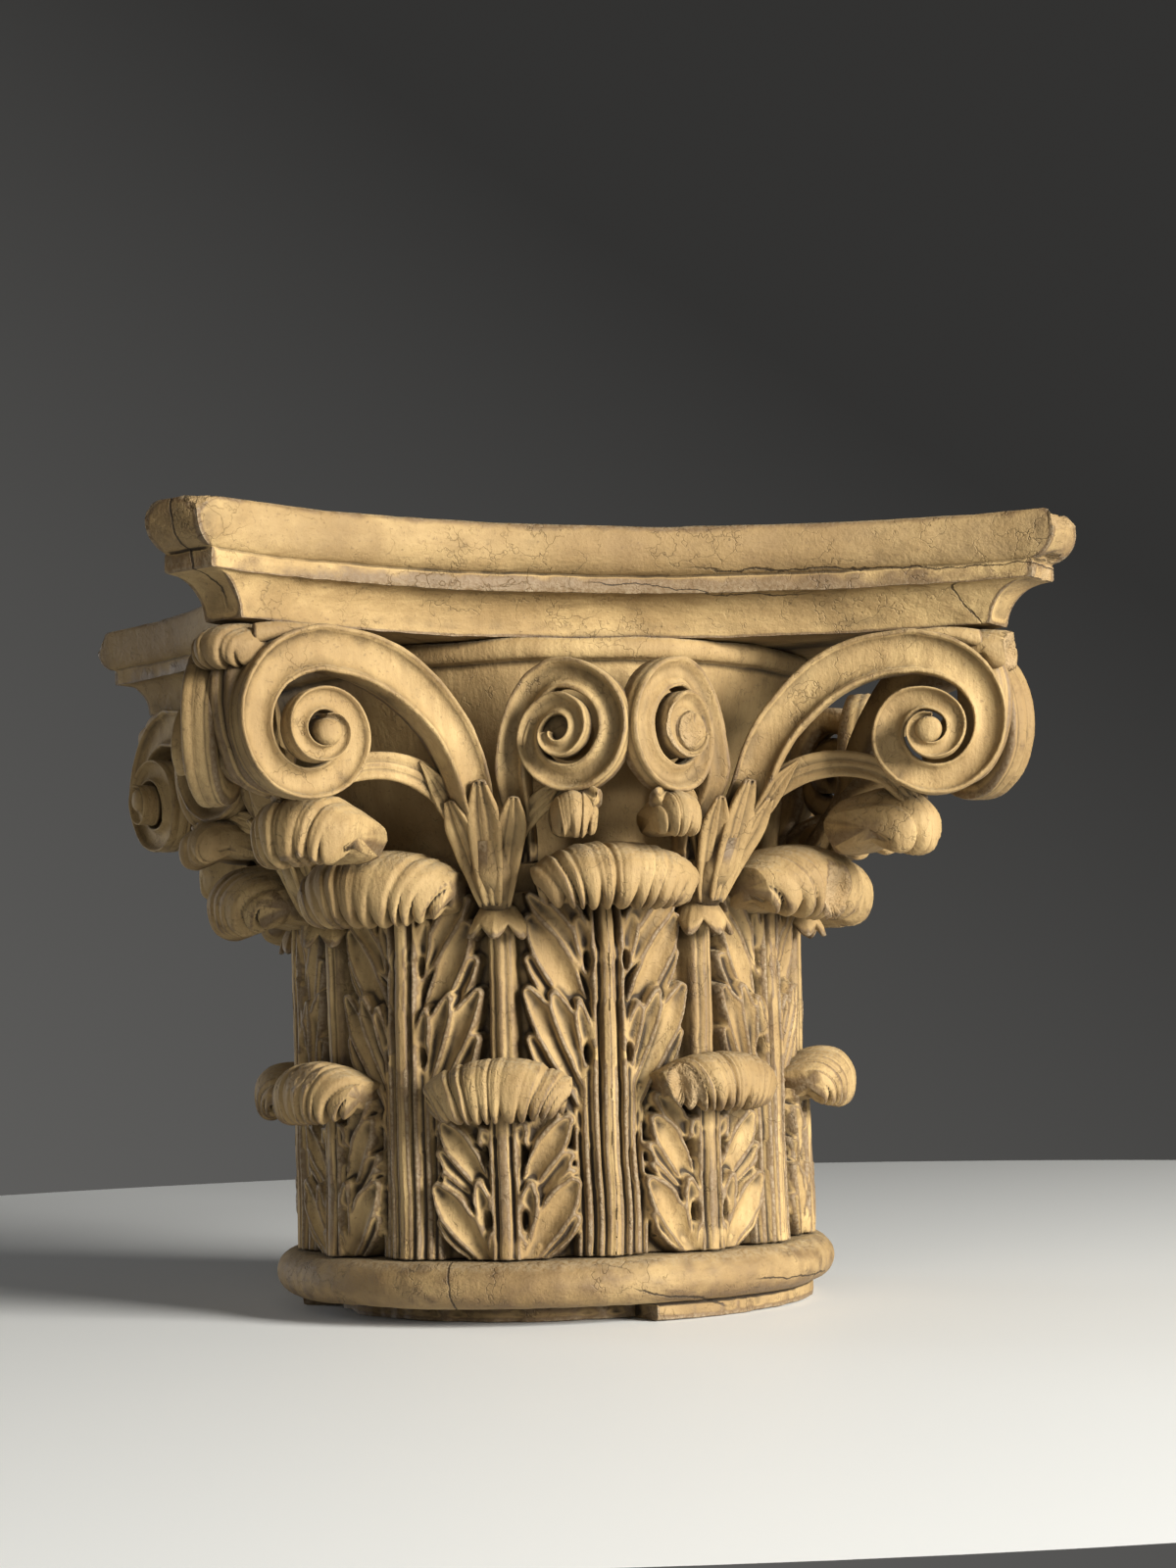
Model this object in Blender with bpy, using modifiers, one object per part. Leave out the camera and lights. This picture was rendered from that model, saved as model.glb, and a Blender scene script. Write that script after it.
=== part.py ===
"""A carved wooden Corinthian capital: a turned neck ring, a bell carved with two rows of acanthus
leaves, stalks, scrolls and corner volutes, and a moulded abacus board with four concave sides."""

from math import atan2, cos, exp, pi, radians, sin, sqrt, tau

import bmesh
import bpy
from mathutils import Matrix, Vector

MM = 0.001

# Heights of the three pieces, one on the other, and the seam left between them
SEAM = 0.3 * MM
RING_HEIGHT = 14.0 * MM
BELL_HEIGHT = 132.5 * MM
ABACUS_HEIGHT = 22.9 * MM
BELL_FOOT = RING_HEIGHT + SEAM
BELL_TOP = BELL_FOOT + BELL_HEIGHT
ABACUS_FOOT = BELL_TOP + SEAM
ABACUS_TOP = ABACUS_FOOT + ABACUS_HEIGHT

# Bell: its narrowest radius, and how far its other rings stand out from that
BELL_STEPS = 40
BELL_KEPT_FACES = 0.5
WAIST_RADIUS = 54.5 * MM
NECK_SWELL = 0.5 * MM
SHOULDER_SWELL = 2.5 * MM
THROAT_SWELL = 7.0 * MM
LIP_PROJECTION = 4.5 * MM
LIP_HEIGHT = 4.5 * MM
NECK_RADIUS = WAIST_RADIUS + NECK_SWELL
SHOULDER_RADIUS = WAIST_RADIUS + SHOULDER_SWELL
THROAT_RADIUS = WAIST_RADIUS + THROAT_SWELL
LIP_RADIUS = THROAT_RADIUS + LIP_PROJECTION
LIP_EDGE = 0.8 * MM

# Neck ring: a bead over a narrower foot, part of which has broken away
RING_PROJECTION = 10.0 * MM
RING_RADIUS = NECK_RADIUS + RING_PROJECTION
RING_BEAD = 5.0 * MM
FOOT_RADIUS = RING_RADIUS - RING_BEAD
FOOT_HEIGHT = RING_HEIGHT - 2 * RING_BEAD
FOOT_LOSS_FROM = -107.0
FOOT_LOSS_TO = 9.0
FOOT_LOSS_STEPS = 16
FOOT_LOSS_RISE = 0.4 * MM
RING_STEPS = 56

# Abacus: how far out its horns reach, how much of each is cut off, and how deep each side curves in
ABACUS_REACH = 99.7 * MM
HORN_CUT = 9.7 * MM
ABACUS_BOW = 27.4 * MM
ABACUS_HALF = ABACUS_REACH - HORN_CUT
ABACUS_MIDDLE = ABACUS_REACH - ABACUS_BOW
HORN_TAPER = 0.8
OVOLO_HEIGHT = 10.5 * MM
OVOLO_DEPTH = 5.0 * MM
FILLET_HEIGHT = 3.6 * MM
FILLET_PROJECTION = 0.8 * MM
FILLET_INSET = OVOLO_DEPTH - FILLET_PROJECTION
CAVETTO_DEPTH = 7.2 * MM
TOP_EDGE = 1.2 * MM
ABACUS_SIDE_STEPS = 10
CHIP_RADIUS = 7.0 * MM
CHIP_OUTSIDE = 0.5 * MM

# Leaves: eight in each row, each with a flat blade that flares into a rolled tip
LEAF_COUNT = 8
LEAF_FOOT_RISE = 0.2 * MM
LEAF_ROOT_DEPTH = 2.5 * MM
LEAF_ROOT = WAIST_RADIUS - LEAF_ROOT_DEPTH
UPPER_TURN = 0.0
UPPER_HEIGHT = 87.7 * MM
UPPER_HALF = 17.0 * MM
UPPER_STAND = 4.5 * MM
UPPER_ROLL = 20.5 * MM
UPPER_DROP = 15.0 * MM
UPPER_TOP = BELL_FOOT + UPPER_HEIGHT
UPPER_FACE = WAIST_RADIUS + UPPER_STAND
UPPER_REACH = UPPER_FACE + UPPER_ROLL
LOWER_TURN = 22.5
LOWER_HEIGHT = 42.7 * MM
LOWER_HALF = 15.6 * MM
LOWER_STAND = 6.0 * MM
LOWER_ROLL = 10.5 * MM
LOWER_DROP = 12.0 * MM
LOWER_TOP = BELL_FOOT + LOWER_HEIGHT
LOWER_FACE = WAIST_RADIUS + LOWER_STAND
LOWER_REACH = LOWER_FACE + LOWER_ROLL
LEAF_FLARE = 2.0 * MM
FLARE_HEIGHT = 12.0 * MM
EDGE_FALL = 1.8 * MM
RIB_HALF = 3.8 * MM
RIB_GROOVE = 1.0 * MM
RIB_RISE = 0.8 * MM

# Stalks between the upper leaves, and the cup that opens at the top of each
STALK_TURN = 22.5
STALK_RADIUS = 3.4 * MM
STALK_STAND = 1.0 * MM
STALK_LEAN = 3.0 * MM
STALK_AXIS_FOOT = WAIST_RADIUS + STALK_STAND
STALK_AXIS_TOP = STALK_AXIS_FOOT + STALK_LEAN
COLLAR_DROP = 15.5 * MM
COLLAR_RADIUS = 6.2 * MM
COLLAR_THICKNESS = 2.5 * MM
COLLAR_HEIGHT = UPPER_TOP - COLLAR_DROP
CUP_RISE = 10.0 * MM
CUP_RADIUS = 6.2 * MM
CUP_LEAN = 4.0 * MM
CUP_MOUTH = 5.0 * MM
CUP_FOOT = COLLAR_HEIGHT + COLLAR_THICKNESS
CUP_TOP = UPPER_TOP + CUP_RISE

# Corner volutes: they stand under the abacus horns, and each strap springs from the top of a cup
VOLUTE_RADIUS = 20.2 * MM
VOLUTE_ASIDE = 33.7 * MM
VOLUTE_BEHIND = 15.7 * MM
VOLUTE_GAP = 0.6 * MM
VOLUTE_CENTRE = Vector(
    (ABACUS_REACH - VOLUTE_ASIDE, VOLUTE_BEHIND - ABACUS_REACH, BELL_TOP - VOLUTE_GAP - VOLUTE_RADIUS)
)
VOLUTE_SHRINK = 0.80
VOLUTE_TURNS = 0.85
VOLUTE_STEPS = 10
STRAP_SHARE = 0.45
STRAP_WIDTH = 7.5 * MM
STRAP_DEPTH = 6.5 * MM
STRAP_CHANNEL = 0.6 * MM
STRAP_RIM = 0.8 * MM
STRAP_FOOT_OUT = 16.0 * MM
STRAP_FOOT_DROP = 11.0 * MM
STRAP_FOOT_REACH = STALK_AXIS_TOP + STRAP_FOOT_OUT
STRAP_FOOT_TOP = CUP_TOP - STRAP_FOOT_DROP
WHORL_RADIUS = 8.8 * MM
WHORL_RISE = 7.0 * MM
EYE_RADIUS = 3.6 * MM
EYE_RISE = 1.0 * MM

# Inner scrolls under the middle of each side
SCROLL_RADIUS = 14.6 * MM
SCROLL_ASIDE = 13.0 * MM
SCROLL_AHEAD = 5.2 * MM
SCROLL_GAP = 6.7 * MM
SCROLL_CENTRE = Vector((SCROLL_ASIDE, -SCROLL_AHEAD - ABACUS_MIDDLE, BELL_TOP - SCROLL_GAP - SCROLL_RADIUS))
SCROLL_HEADING = 213.0
SCROLL_SHRINK = 0.75
SCROLL_TURNS = 0.85
SCROLL_STEPS = 8
SCROLL_DEPTH = 5.0 * MM
SCROLL_RISE = 2.5 * MM
POST_RADIUS = 6.5 * MM
POST_ROOT = 5.0 * MM
POST_LENGTH = SCROLL_CENTRE.xy.length - THROAT_RADIUS + POST_ROOT
POST_SHOULDER = 0.5 * MM

# Under each corner: the rolled leaf, the web between two volutes and the bud below the horn
CORNER_REACH = (VOLUTE_CENTRE.x - VOLUTE_CENTRE.y) / sqrt(2)
CORNER_LEAF_RADIUS = 11.0 * MM
CORNER_LEAF_HALF = 13.5 * MM
CORNER_LEAF_INSIDE = 13.0 * MM
CORNER_LEAF_DROP = 19.0 * MM
CORNER_LEAF_REACH = CORNER_REACH - CORNER_LEAF_INSIDE
CORNER_LEAF_HEIGHT = VOLUTE_CENTRE.z - CORNER_LEAF_DROP
CORNER_LEAF_STEPS = 6
WEB_HALF = 6.0 * MM
WEB_DEPTH = 16.0 * MM
BUD_RADIUS = 5.6 * MM
BUD_OUT = 13.1 * MM
BUD_REACH = CORNER_REACH + BUD_OUT

# Arms: the leaves that run from each cup to the corner leaf and to the inner scrolls
ARM_HALF = 4.0 * MM
ARM_THICKNESS = 3.0 * MM
ARM_ROOT_OUT = 1.5 * MM
ARM_ROOT_RISE = 7.0 * MM
ARM_REACH = STALK_AXIS_TOP + ARM_ROOT_OUT
ARM_HEIGHT = CUP_FOOT + ARM_ROOT_RISE
CORNER_ARM_TURNS = (STALK_TURN + 1.5, 41.0)
CORNER_ARM_REACH = CORNER_LEAF_REACH + CORNER_LEAF_RADIUS / 2
CORNER_ARM_HEIGHT = CORNER_LEAF_HEIGHT + CORNER_LEAF_RADIUS / 2
INNER_ARM_TURNS = (STALK_TURN - 2.5, 5.5)
INNER_ARM_OUT = 4.5 * MM
INNER_ARM_CLIMB = 9.0 * MM
INNER_ARM_REACH = SCROLL_CENTRE.xy.length + INNER_ARM_OUT
INNER_ARM_HEIGHT = ARM_HEIGHT + INNER_ARM_CLIMB

# Free forms as shares of the sizes above. A leaf's blade from foot to neck: (height, half width)
UPPER_BLADE = (
    (0.0, 0.50), (0.34, 0.50), (0.50, 0.90), (0.62, 1.00), (0.67, 0.78), (0.78, 0.97), (0.83, 0.90)
)
LOWER_BLADE = ((0.0, 0.85), (0.30, 1.00), (0.39, 0.82), (0.60, 1.00), (0.72, 0.88))
# A rolled tip seen from the side, from its underside round to its back: (reach, drop)
CURL_SIDE = (
    (0.18, 1.00), (0.60, 1.04), (0.94, 0.86), (1.00, 0.50), (0.84, 0.15), (0.45, 0.00), (-0.40, 0.15)
)
CURL_HEART = (0.30, 0.55)
CURL_PIVOT = 0.70
CURL_FAN = 0.25 * MM
# A rolled tip across: (place across, size there), so that it falls into fingers
CURL_ACROSS = ((-0.92, 0.55), (-0.66, 0.97), (-0.34, 0.93), (-0.14, 1.02))
# The stations from a strap's foot to the top of its spiral: (share of its run, share of its climb)
STRAP_LINE = ((1.0, -1.0), (0.93, -0.36), (0.72, 0.25), (0.37, 0.68))
SCROLL_LINE = ((0.72, -1.64), (0.81, -0.68), (0.65, 0.34))
# Stations of the web and the bud: (height, reach, width)
WEB_LINE = ((-0.67, 0.0, 0.50), (-0.35, 0.51, 0.92), (0.45, 0.61, 1.0), (0.98, 0.29, 0.67))
BUD_LINE = ((-1.66, -0.39, 0.46), (-1.04, 0.0, 1.0), (-0.41, -0.12, 0.86), (-0.05, -0.48, 0.46))
# The corner leaf seen from the side: (out, above) its middle
CORNER_LEAF_SIDE = ((-0.64, 0.64), (0.27, 0.64), (1.0, 0.09), (0.95, -0.64), (0.36, -0.86), (-0.27, -0.55))
# The arms from root to tip: (turn, reach, height, width)
CORNER_ARM = ((0.0, 0.0, 0.0, 0.75), (0.24, 0.21, 0.64, 0.9), (0.59, 0.60, 1.06, 0.95), (1.0, 1.0, 1.0, 1.0))
INNER_ARM = ((0.0, 0.0, 0.0, 0.6), (0.27, 0.30, 1.17, 0.7), (0.86, 0.87, 1.39, 1.05), (1.0, 1.0, 1.0, 0.95))


def polar(turn, radius, height):
    """A point at a turn in degrees from the front, towards +X."""
    angle = radians(turn)
    return Vector((radius * sin(angle), -radius * cos(angle), height))


def wrap(turn, across, radius, height):
    """A point beside a leaf's middle line, its distance across measured round the bell."""
    return polar(turn + across / radius * 180 / pi, radius, height)


def smooth(share):
    share = max(0.0, min(1.0, share))
    return share * share * (3 - 2 * share)


def clear_scene():
    for obj in list(bpy.data.objects):
        bpy.data.objects.remove(obj, do_unlink=True)


def new_collection(name):
    collection = bpy.data.collections.new(name)
    bpy.context.scene.collection.children.link(collection)
    return collection


def material(name, colour, roughness):
    made = bpy.data.materials.new(name)
    made.use_nodes = True
    shader = made.node_tree.nodes["Principled BSDF"]
    shader.inputs["Base Color"].default_value = (*colour, 1.0)
    shader.inputs["Roughness"].default_value = roughness
    shader.inputs["Metallic"].default_value = 0.0
    return made


def add_mesh(name, mesh_data, collection):
    mesh = bpy.data.meshes.new(name)
    mesh_data.to_mesh(mesh)
    mesh_data.free()
    obj = bpy.data.objects.new(name, mesh)
    collection.objects.link(obj)
    return obj


def loft(name, sections, collection):
    """A closed solid through loops of as many points each, with flat ends."""
    made = bmesh.new()
    rings = [[made.verts.new(point) for point in section] for section in sections]
    for ring, following in zip(rings, rings[1:]):
        for index in range(len(ring)):
            after = (index + 1) % len(ring)
            made.faces.new((ring[index], ring[after], following[after], following[index]))
    made.faces.new(rings[0])
    made.faces.new(rings[-1])
    bmesh.ops.recalc_face_normals(made, faces=made.faces)
    bmesh.ops.triangulate(made, faces=made.faces)
    return add_mesh(name, made, collection)


def copies(name, sections, collection, turns=4, mirrored=True):
    """The loft repeated round the axis, with its mirror image beside each if asked."""
    for index in range(turns):
        for side in (1, -1) if mirrored else (1,):
            turn = Matrix.Rotation(tau * index / turns, 4, "Z") @ Matrix.Diagonal((side, 1, 1, 1))
            moved = [[turn @ point for point in section] for section in sections]
            loft(f"{name}_{index}{'rl'[side < 0]}", moved, collection)


def screw(name, profile, steps, collection):
    """A turned solid from (radius, height) pairs, top to bottom."""
    made = bmesh.new()
    points = [made.verts.new((radius, 0, height)) for radius, height in profile]
    for first, second in zip(points, points[1:]):
        made.edges.new((first, second))
    obj = add_mesh(name, made, collection)
    turned = obj.modifiers.new("turn", "SCREW")
    turned.steps = turned.render_steps = steps
    turned.use_merge_vertices = True
    turned.merge_threshold = 0.01 * MM
    return obj


def join(obj, cutters, operation):
    added = obj.modifiers.new(operation.lower(), "BOOLEAN")
    added.operation = operation
    added.operand_type = "COLLECTION"
    added.collection = cutters


def hide(collection):
    for obj in collection.objects:
        obj.hide_render = True
        obj.display_type = "WIRE"


def abacus_outline(inset, height):
    """The plan at one height: four concave sides and four cut horns, drawn in by the inset."""
    half = ABACUS_HALF - inset * HORN_TAPER
    radius = (half * half + ABACUS_BOW * ABACUS_BOW) / (2 * ABACUS_BOW)
    widest = atan2(half, radius - ABACUS_BOW)
    outline = []
    for side in range(4):
        turn = Matrix.Rotation(side * pi / 2, 4, "Z")
        for step in range(ABACUS_SIDE_STEPS + 1):
            angle = widest * (2 * step / ABACUS_SIDE_STEPS - 1)
            depth = ABACUS_MIDDLE - inset + radius * (1 - cos(angle))
            outline.append(turn @ Vector((radius * sin(angle), -depth, height)))
    return outline


def abacus_levels():
    """(inset, height) from the underside to the top: cavetto, fillet and ovolo."""
    fillet_top = ABACUS_TOP - OVOLO_HEIGHT
    fillet_bottom = fillet_top - FILLET_HEIGHT
    cavetto = fillet_bottom - ABACUS_FOOT
    levels = []
    for angle in (0, pi / 6, pi / 3, pi / 2):
        levels.append((OVOLO_DEPTH + CAVETTO_DEPTH * cos(angle), ABACUS_FOOT + cavetto * sin(angle)))
    levels += [(FILLET_INSET, fillet_bottom), (FILLET_INSET, fillet_top)]
    ovolo = OVOLO_HEIGHT - TOP_EDGE
    for angle in (pi / 10, pi / 3.5, pi / 2):
        levels.append((OVOLO_DEPTH * (1 - sin(angle)), fillet_top + ovolo * 0.85 * (1 - cos(angle))))
    levels += [(0.0, ABACUS_TOP - TOP_EDGE), (TOP_EDGE, ABACUS_TOP)]
    return levels


def build_abacus(collection, cutters):
    abacus = loft("abacus", [abacus_outline(*level) for level in abacus_levels()], collection)
    bpy.ops.mesh.primitive_ico_sphere_add(subdivisions=2, radius=CHIP_RADIUS)
    chip = bpy.context.object
    chip.name = "lost_horn_tip"
    reach = ABACUS_REACH + CHIP_OUTSIDE
    chip.location = (reach, -reach, ABACUS_TOP + CHIP_OUTSIDE)
    chip.rotation_euler = (0.4, 0.7, 0.3)
    move_to(chip, cutters)
    join(abacus, cutters, "DIFFERENCE")
    return abacus


def move_to(obj, collection):
    for old in list(obj.users_collection):
        old.objects.unlink(obj)
    collection.objects.link(obj)


def build_ring(collection, cutters):
    middle = FOOT_HEIGHT + RING_BEAD
    bead = []
    for angle in (pi / 2, pi / 3, pi / 6, 0, -pi / 6, -pi / 3, -pi / 2):
        bead.append((FOOT_RADIUS + RING_BEAD * cos(angle), middle + RING_BEAD * sin(angle)))
    profile = [(0, RING_HEIGHT), *bead, (FOOT_RADIUS, 0), (0, 0)]
    ring = screw("neck_ring", profile, RING_STEPS, collection)
    outer, inner = RING_RADIUS * 1.1, FOOT_RADIUS * 0.8
    top = FOOT_HEIGHT + FOOT_LOSS_RISE
    sections = []
    for step in range(FOOT_LOSS_STEPS + 1):
        turn = FOOT_LOSS_FROM + (FOOT_LOSS_TO - FOOT_LOSS_FROM) * step / FOOT_LOSS_STEPS
        corners = ((inner, -top), (outer, -top), (outer, top), (inner, top))
        sections.append([polar(turn, reach, height) for reach, height in corners])
    loft("lost_foot", sections, cutters)
    join(ring, cutters, "DIFFERENCE")
    return ring


def build_core(collection):
    lip = BELL_TOP - LIP_HEIGHT
    profile = [
        (0, BELL_TOP),
        (LIP_RADIUS - LIP_EDGE, BELL_TOP),
        (LIP_RADIUS, BELL_TOP - LIP_EDGE),
        (LIP_RADIUS - LIP_EDGE, lip),
        (THROAT_RADIUS, lip - LIP_EDGE),
        ((SHOULDER_RADIUS + THROAT_RADIUS) / 2, BELL_FOOT + BELL_HEIGHT * 0.86),
        (SHOULDER_RADIUS, BELL_FOOT + BELL_HEIGHT * 0.76),
        (WAIST_RADIUS, BELL_FOOT + BELL_HEIGHT * 0.61),
        (WAIST_RADIUS, BELL_FOOT + BELL_HEIGHT * 0.35),
        (NECK_RADIUS, BELL_FOOT),
        (0, BELL_FOOT),
    ]
    return screw("bell", profile, BELL_STEPS, collection)


def leaf(name, turn, blade, top, drop, face, reach, half, collection):
    """One leaf in one skin: up the blade, out under the curl, round its tip and back to the bell."""
    foot = BELL_FOOT + LEAF_FOOT_RISE
    neck = top - drop
    sections = []
    for share, width in blade:
        height = foot + (top - foot) * share
        edge = half * width
        front = face + LEAF_FLARE * smooth((height - neck + FLARE_HEIGHT) / FLARE_HEIGHT)
        row = [
            (edge, front - EDGE_FALL),
            ((edge + RIB_HALF) / 2, front),
            (RIB_HALF, front - RIB_GROOVE),
            (RIB_HALF * 0.6, front + RIB_RISE),
        ]
        skin = [wrap(turn, -across, radius, height) for across, radius in row]
        skin += [wrap(turn, across, radius, height) for across, radius in reversed(row)]
        sections.append([wrap(turn, -edge, LEAF_ROOT, height), *skin, wrap(turn, edge, LEAF_ROOT, height)])
    heart_out, heart_down = CURL_HEART
    for index, (out, down) in enumerate(CURL_SIDE):
        skin = []
        for share, size in (*CURL_ACROSS, *((-share, size) for share, size in reversed(CURL_ACROSS))):
            grown = size if out > 0 else 1.0
            far = heart_out + (out - heart_out) * grown
            low = heart_down + (down - heart_down) * grown
            skin.append(wrap(turn, share * half, face + far * (reach - face), top - low * drop))
        height = top - drop * CURL_PIVOT + index * CURL_FAN
        ends = [wrap(turn, side * half * 0.9, LEAF_ROOT, height) for side in (-1, 1)]
        sections.append([ends[0], *skin, ends[1]])
    return loft(name, sections, collection)


def build_leaves(collection):
    upper = (UPPER_BLADE, UPPER_TOP, UPPER_DROP, UPPER_FACE, UPPER_REACH, UPPER_HALF)
    lower = (LOWER_BLADE, LOWER_TOP, LOWER_DROP, LOWER_FACE, LOWER_REACH, LOWER_HALF)
    for index in range(LEAF_COUNT):
        turn = index * 360 / LEAF_COUNT
        leaf(f"upper_{index}", UPPER_TURN + turn, *upper, collection)
        leaf(f"lower_{index}", LOWER_TURN + turn, *lower, collection)


def round_section(centre, radius, count, stretch=1.0):
    """A level loop round a centre, stretched across the way that it faces."""
    outward = Vector((centre.x, centre.y, 0)).normalized()
    sideways = Vector((-outward.y, outward.x, 0)) * stretch
    angles = [tau * index / count for index in range(count)]
    return [centre + (sideways * cos(angle) + outward * sin(angle)) * radius for angle in angles]


def build_stalks(collection):
    """A stalk, its collar of drooping leaves and the open cup above, between each two upper leaves."""
    stalk = [
        (LOWER_TOP - LOWER_DROP, STALK_AXIS_FOOT, STALK_RADIUS, 1.0),
        (COLLAR_HEIGHT - COLLAR_THICKNESS * 1.4, STALK_AXIS_TOP, STALK_RADIUS, 1.0),
        (COLLAR_HEIGHT - COLLAR_THICKNESS * 0.8, STALK_AXIS_TOP, COLLAR_RADIUS, 1.0),
        (CUP_FOOT, STALK_AXIS_TOP, STALK_RADIUS * 1.2, 1.1),
        (CUP_TOP - CUP_MOUTH, STALK_AXIS_TOP + CUP_LEAN, CUP_RADIUS, 1.35),
        (CUP_TOP, STALK_AXIS_TOP + CUP_LEAN * 1.5, CUP_RADIUS * 0.5, 1.5),
    ]
    sections = []
    for height, axis, radius, stretch in stalk:
        sections.append(round_section(polar(STALK_TURN, axis, height), radius, 6, stretch))
    copies("stalk", sections, collection)


def volute_plan(along):
    """Plan position and outward normal at a distance along the volute's face from its centre."""
    foot = polar(STALK_TURN, STRAP_FOOT_REACH, 0)
    run = Vector((VOLUTE_CENTRE.x - foot.x, VOLUTE_CENTRE.y - foot.y, 0)).normalized()
    return VOLUTE_CENTRE + run * along, Vector((run.y, -run.x, 0))


def scroll_plan(along):
    """Plan position and outward normal at a distance along an inner scroll's face."""
    heading = radians(SCROLL_HEADING)
    step = Vector((cos(heading), sin(heading), 0)) * along
    return SCROLL_CENTRE + step, Vector((-sin(heading), cos(heading), 0))


def spiral(radius, shrink, turns, rise, steps):
    """(along, above, half width, depth in front) round a spiral that starts at its top."""
    stations = []
    for step in range(steps + 1):
        turned = turns * step / steps
        outer = radius * exp(-shrink * turned)
        half = outer * STRAP_SHARE / 2
        angle = pi / 2 - tau * turned
        stations.append(((outer - half) * cos(angle), (outer - half) * sin(angle), half, rise * turned**2))
    return stations


def strap_sections(stations, plan, centre, depth):
    """Five-cornered sections square to the strap's line, with a shallow channel along the front."""
    channel = ((1, STRAP_RIM), (0, -STRAP_CHANNEL), (-1, STRAP_RIM / 2))
    sections = []
    for index, (along, above, half, rise) in enumerate(stations):
        before = stations[max(index - 1, 0)]
        after = stations[min(index + 1, len(stations) - 1)]
        run, climb = after[0] - before[0], after[1] - before[1]
        length = sqrt(run * run + climb * climb)
        section = []
        for side, level in (*channel, (-1, -depth), (1, -depth)):
            ground, outward = plan(along - side * half * climb / length)
            point = ground + outward * (rise + level)
            point.z = centre.z + above + side * half * run / length
            section.append(point)
        sections.append(section)
    return sections


def disc_sections(plan, rings, count=8):
    """Rings of one disc or post square to a scroll's face: (radius, how far out) pairs."""
    angles = [tau * index / count for index in range(count)]
    sections = []
    for radius, out in rings:
        outward = plan(0)[1] * out
        up = Vector((0, 0, radius))
        sections.append([plan(radius * cos(angle))[0] + outward + up * sin(angle) for angle in angles])
    return sections


def build_volutes(collection):
    foot = polar(STALK_TURN, STRAP_FOOT_REACH, STRAP_FOOT_TOP)
    run = (foot - VOLUTE_CENTRE).xy.length
    climb = VOLUTE_CENTRE.z - foot.z
    top_width = VOLUTE_RADIUS * STRAP_SHARE
    stations = []
    for index, (along, above) in enumerate(STRAP_LINE):
        width = STRAP_WIDTH + (top_width - STRAP_WIDTH) * index / len(STRAP_LINE)
        rise = above * (climb if above < 0 else VOLUTE_RADIUS)
        stations.append((-along * run, rise, width / 2, 0.0))
    stations += spiral(VOLUTE_RADIUS, VOLUTE_SHRINK, VOLUTE_TURNS, WHORL_RISE * 0.45, VOLUTE_STEPS)
    copies("volute_strap", strap_sections(stations, volute_plan, VOLUTE_CENTRE, STRAP_DEPTH), collection)
    whorl = [
        (WHORL_RADIUS * 1.1, -STRAP_DEPTH),
        (WHORL_RADIUS, WHORL_RISE * 0.6),
        (EYE_RADIUS, WHORL_RISE * 0.8),
        (EYE_RADIUS * 0.8, WHORL_RISE + EYE_RISE),
    ]
    copies("volute_whorl", disc_sections(volute_plan, whorl), collection)


def build_scrolls(collection):
    """The inner scrolls, which rise from the cups and meet under the middle of each side."""
    half = SCROLL_RADIUS * STRAP_SHARE / 2
    stations = [(-along * SCROLL_RADIUS, above * SCROLL_RADIUS, half, 0.0) for along, above in SCROLL_LINE]
    stations += spiral(SCROLL_RADIUS, SCROLL_SHRINK, SCROLL_TURNS, SCROLL_RISE, SCROLL_STEPS)
    copies("scroll_strap", strap_sections(stations, scroll_plan, SCROLL_CENTRE, SCROLL_DEPTH), collection)
    post = [
        (POST_RADIUS, -POST_LENGTH),
        (POST_RADIUS * 1.1, -POST_SHOULDER),
        (POST_RADIUS / 2, SCROLL_RISE),
    ]
    copies("scroll_whorl", disc_sections(scroll_plan, post), collection)


def build_corners(collection):
    """Under each corner: the web between two volutes, the bud, and the leaf that rolls over below them."""
    web = []
    inward = polar(45, -WEB_DEPTH, 0)
    for above, out, width in WEB_LINE:
        front = polar(45, CORNER_REACH + out * VOLUTE_RADIUS, VOLUTE_CENTRE.z + above * VOLUTE_RADIUS)
        sideways = polar(135, width * WEB_HALF, 0)
        back = front + inward
        web.append([front - sideways, front + sideways, back + sideways, back - sideways])
    copies("corner_web", web, collection, mirrored=False)
    bud = []
    for above, out, width in BUD_LINE:
        centre = polar(45, BUD_REACH + out * BUD_RADIUS, BELL_TOP + above * BUD_RADIUS)
        bud.append(round_section(centre, width * BUD_RADIUS, 6, 1.2))
    copies("corner_bud", bud, collection, mirrored=False)
    curl = []
    for step in range(CORNER_LEAF_STEPS + 1):
        across = 2 * step / CORNER_LEAF_STEPS - 1
        size = CORNER_LEAF_RADIUS * (1 - 0.55 * abs(across) ** 2.5) * (1.0 if step % 2 else 0.93)
        section = []
        for out, above in CORNER_LEAF_SIDE:
            place = polar(45, CORNER_LEAF_REACH + out * size, CORNER_LEAF_HEIGHT + above * size)
            section.append(place + polar(135, across * CORNER_LEAF_HALF, 0))
        curl.append(section)
    copies("corner_curl", curl, collection, mirrored=False)


def arm_sections(first, last, stations, lean):
    """A bar between two places given as (turn, reach, height), along stations in shares of the way."""
    sections = []
    for turn, reach, climb, width in stations:
        place = [a + (b - a) * share for a, b, share in zip(first, last, (turn, reach, climb))]
        centre = polar(*place)
        sideways = polar(place[0] + 90, width * ARM_HALF, 0)
        upward = polar(place[0], lean * ARM_THICKNESS, ARM_THICKNESS)
        corners = ((1, -1), (1, 1), (-1, 1), (-1, -1))
        sections.append([centre + upward * high + sideways * side for high, side in corners])
    return sections


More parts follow.
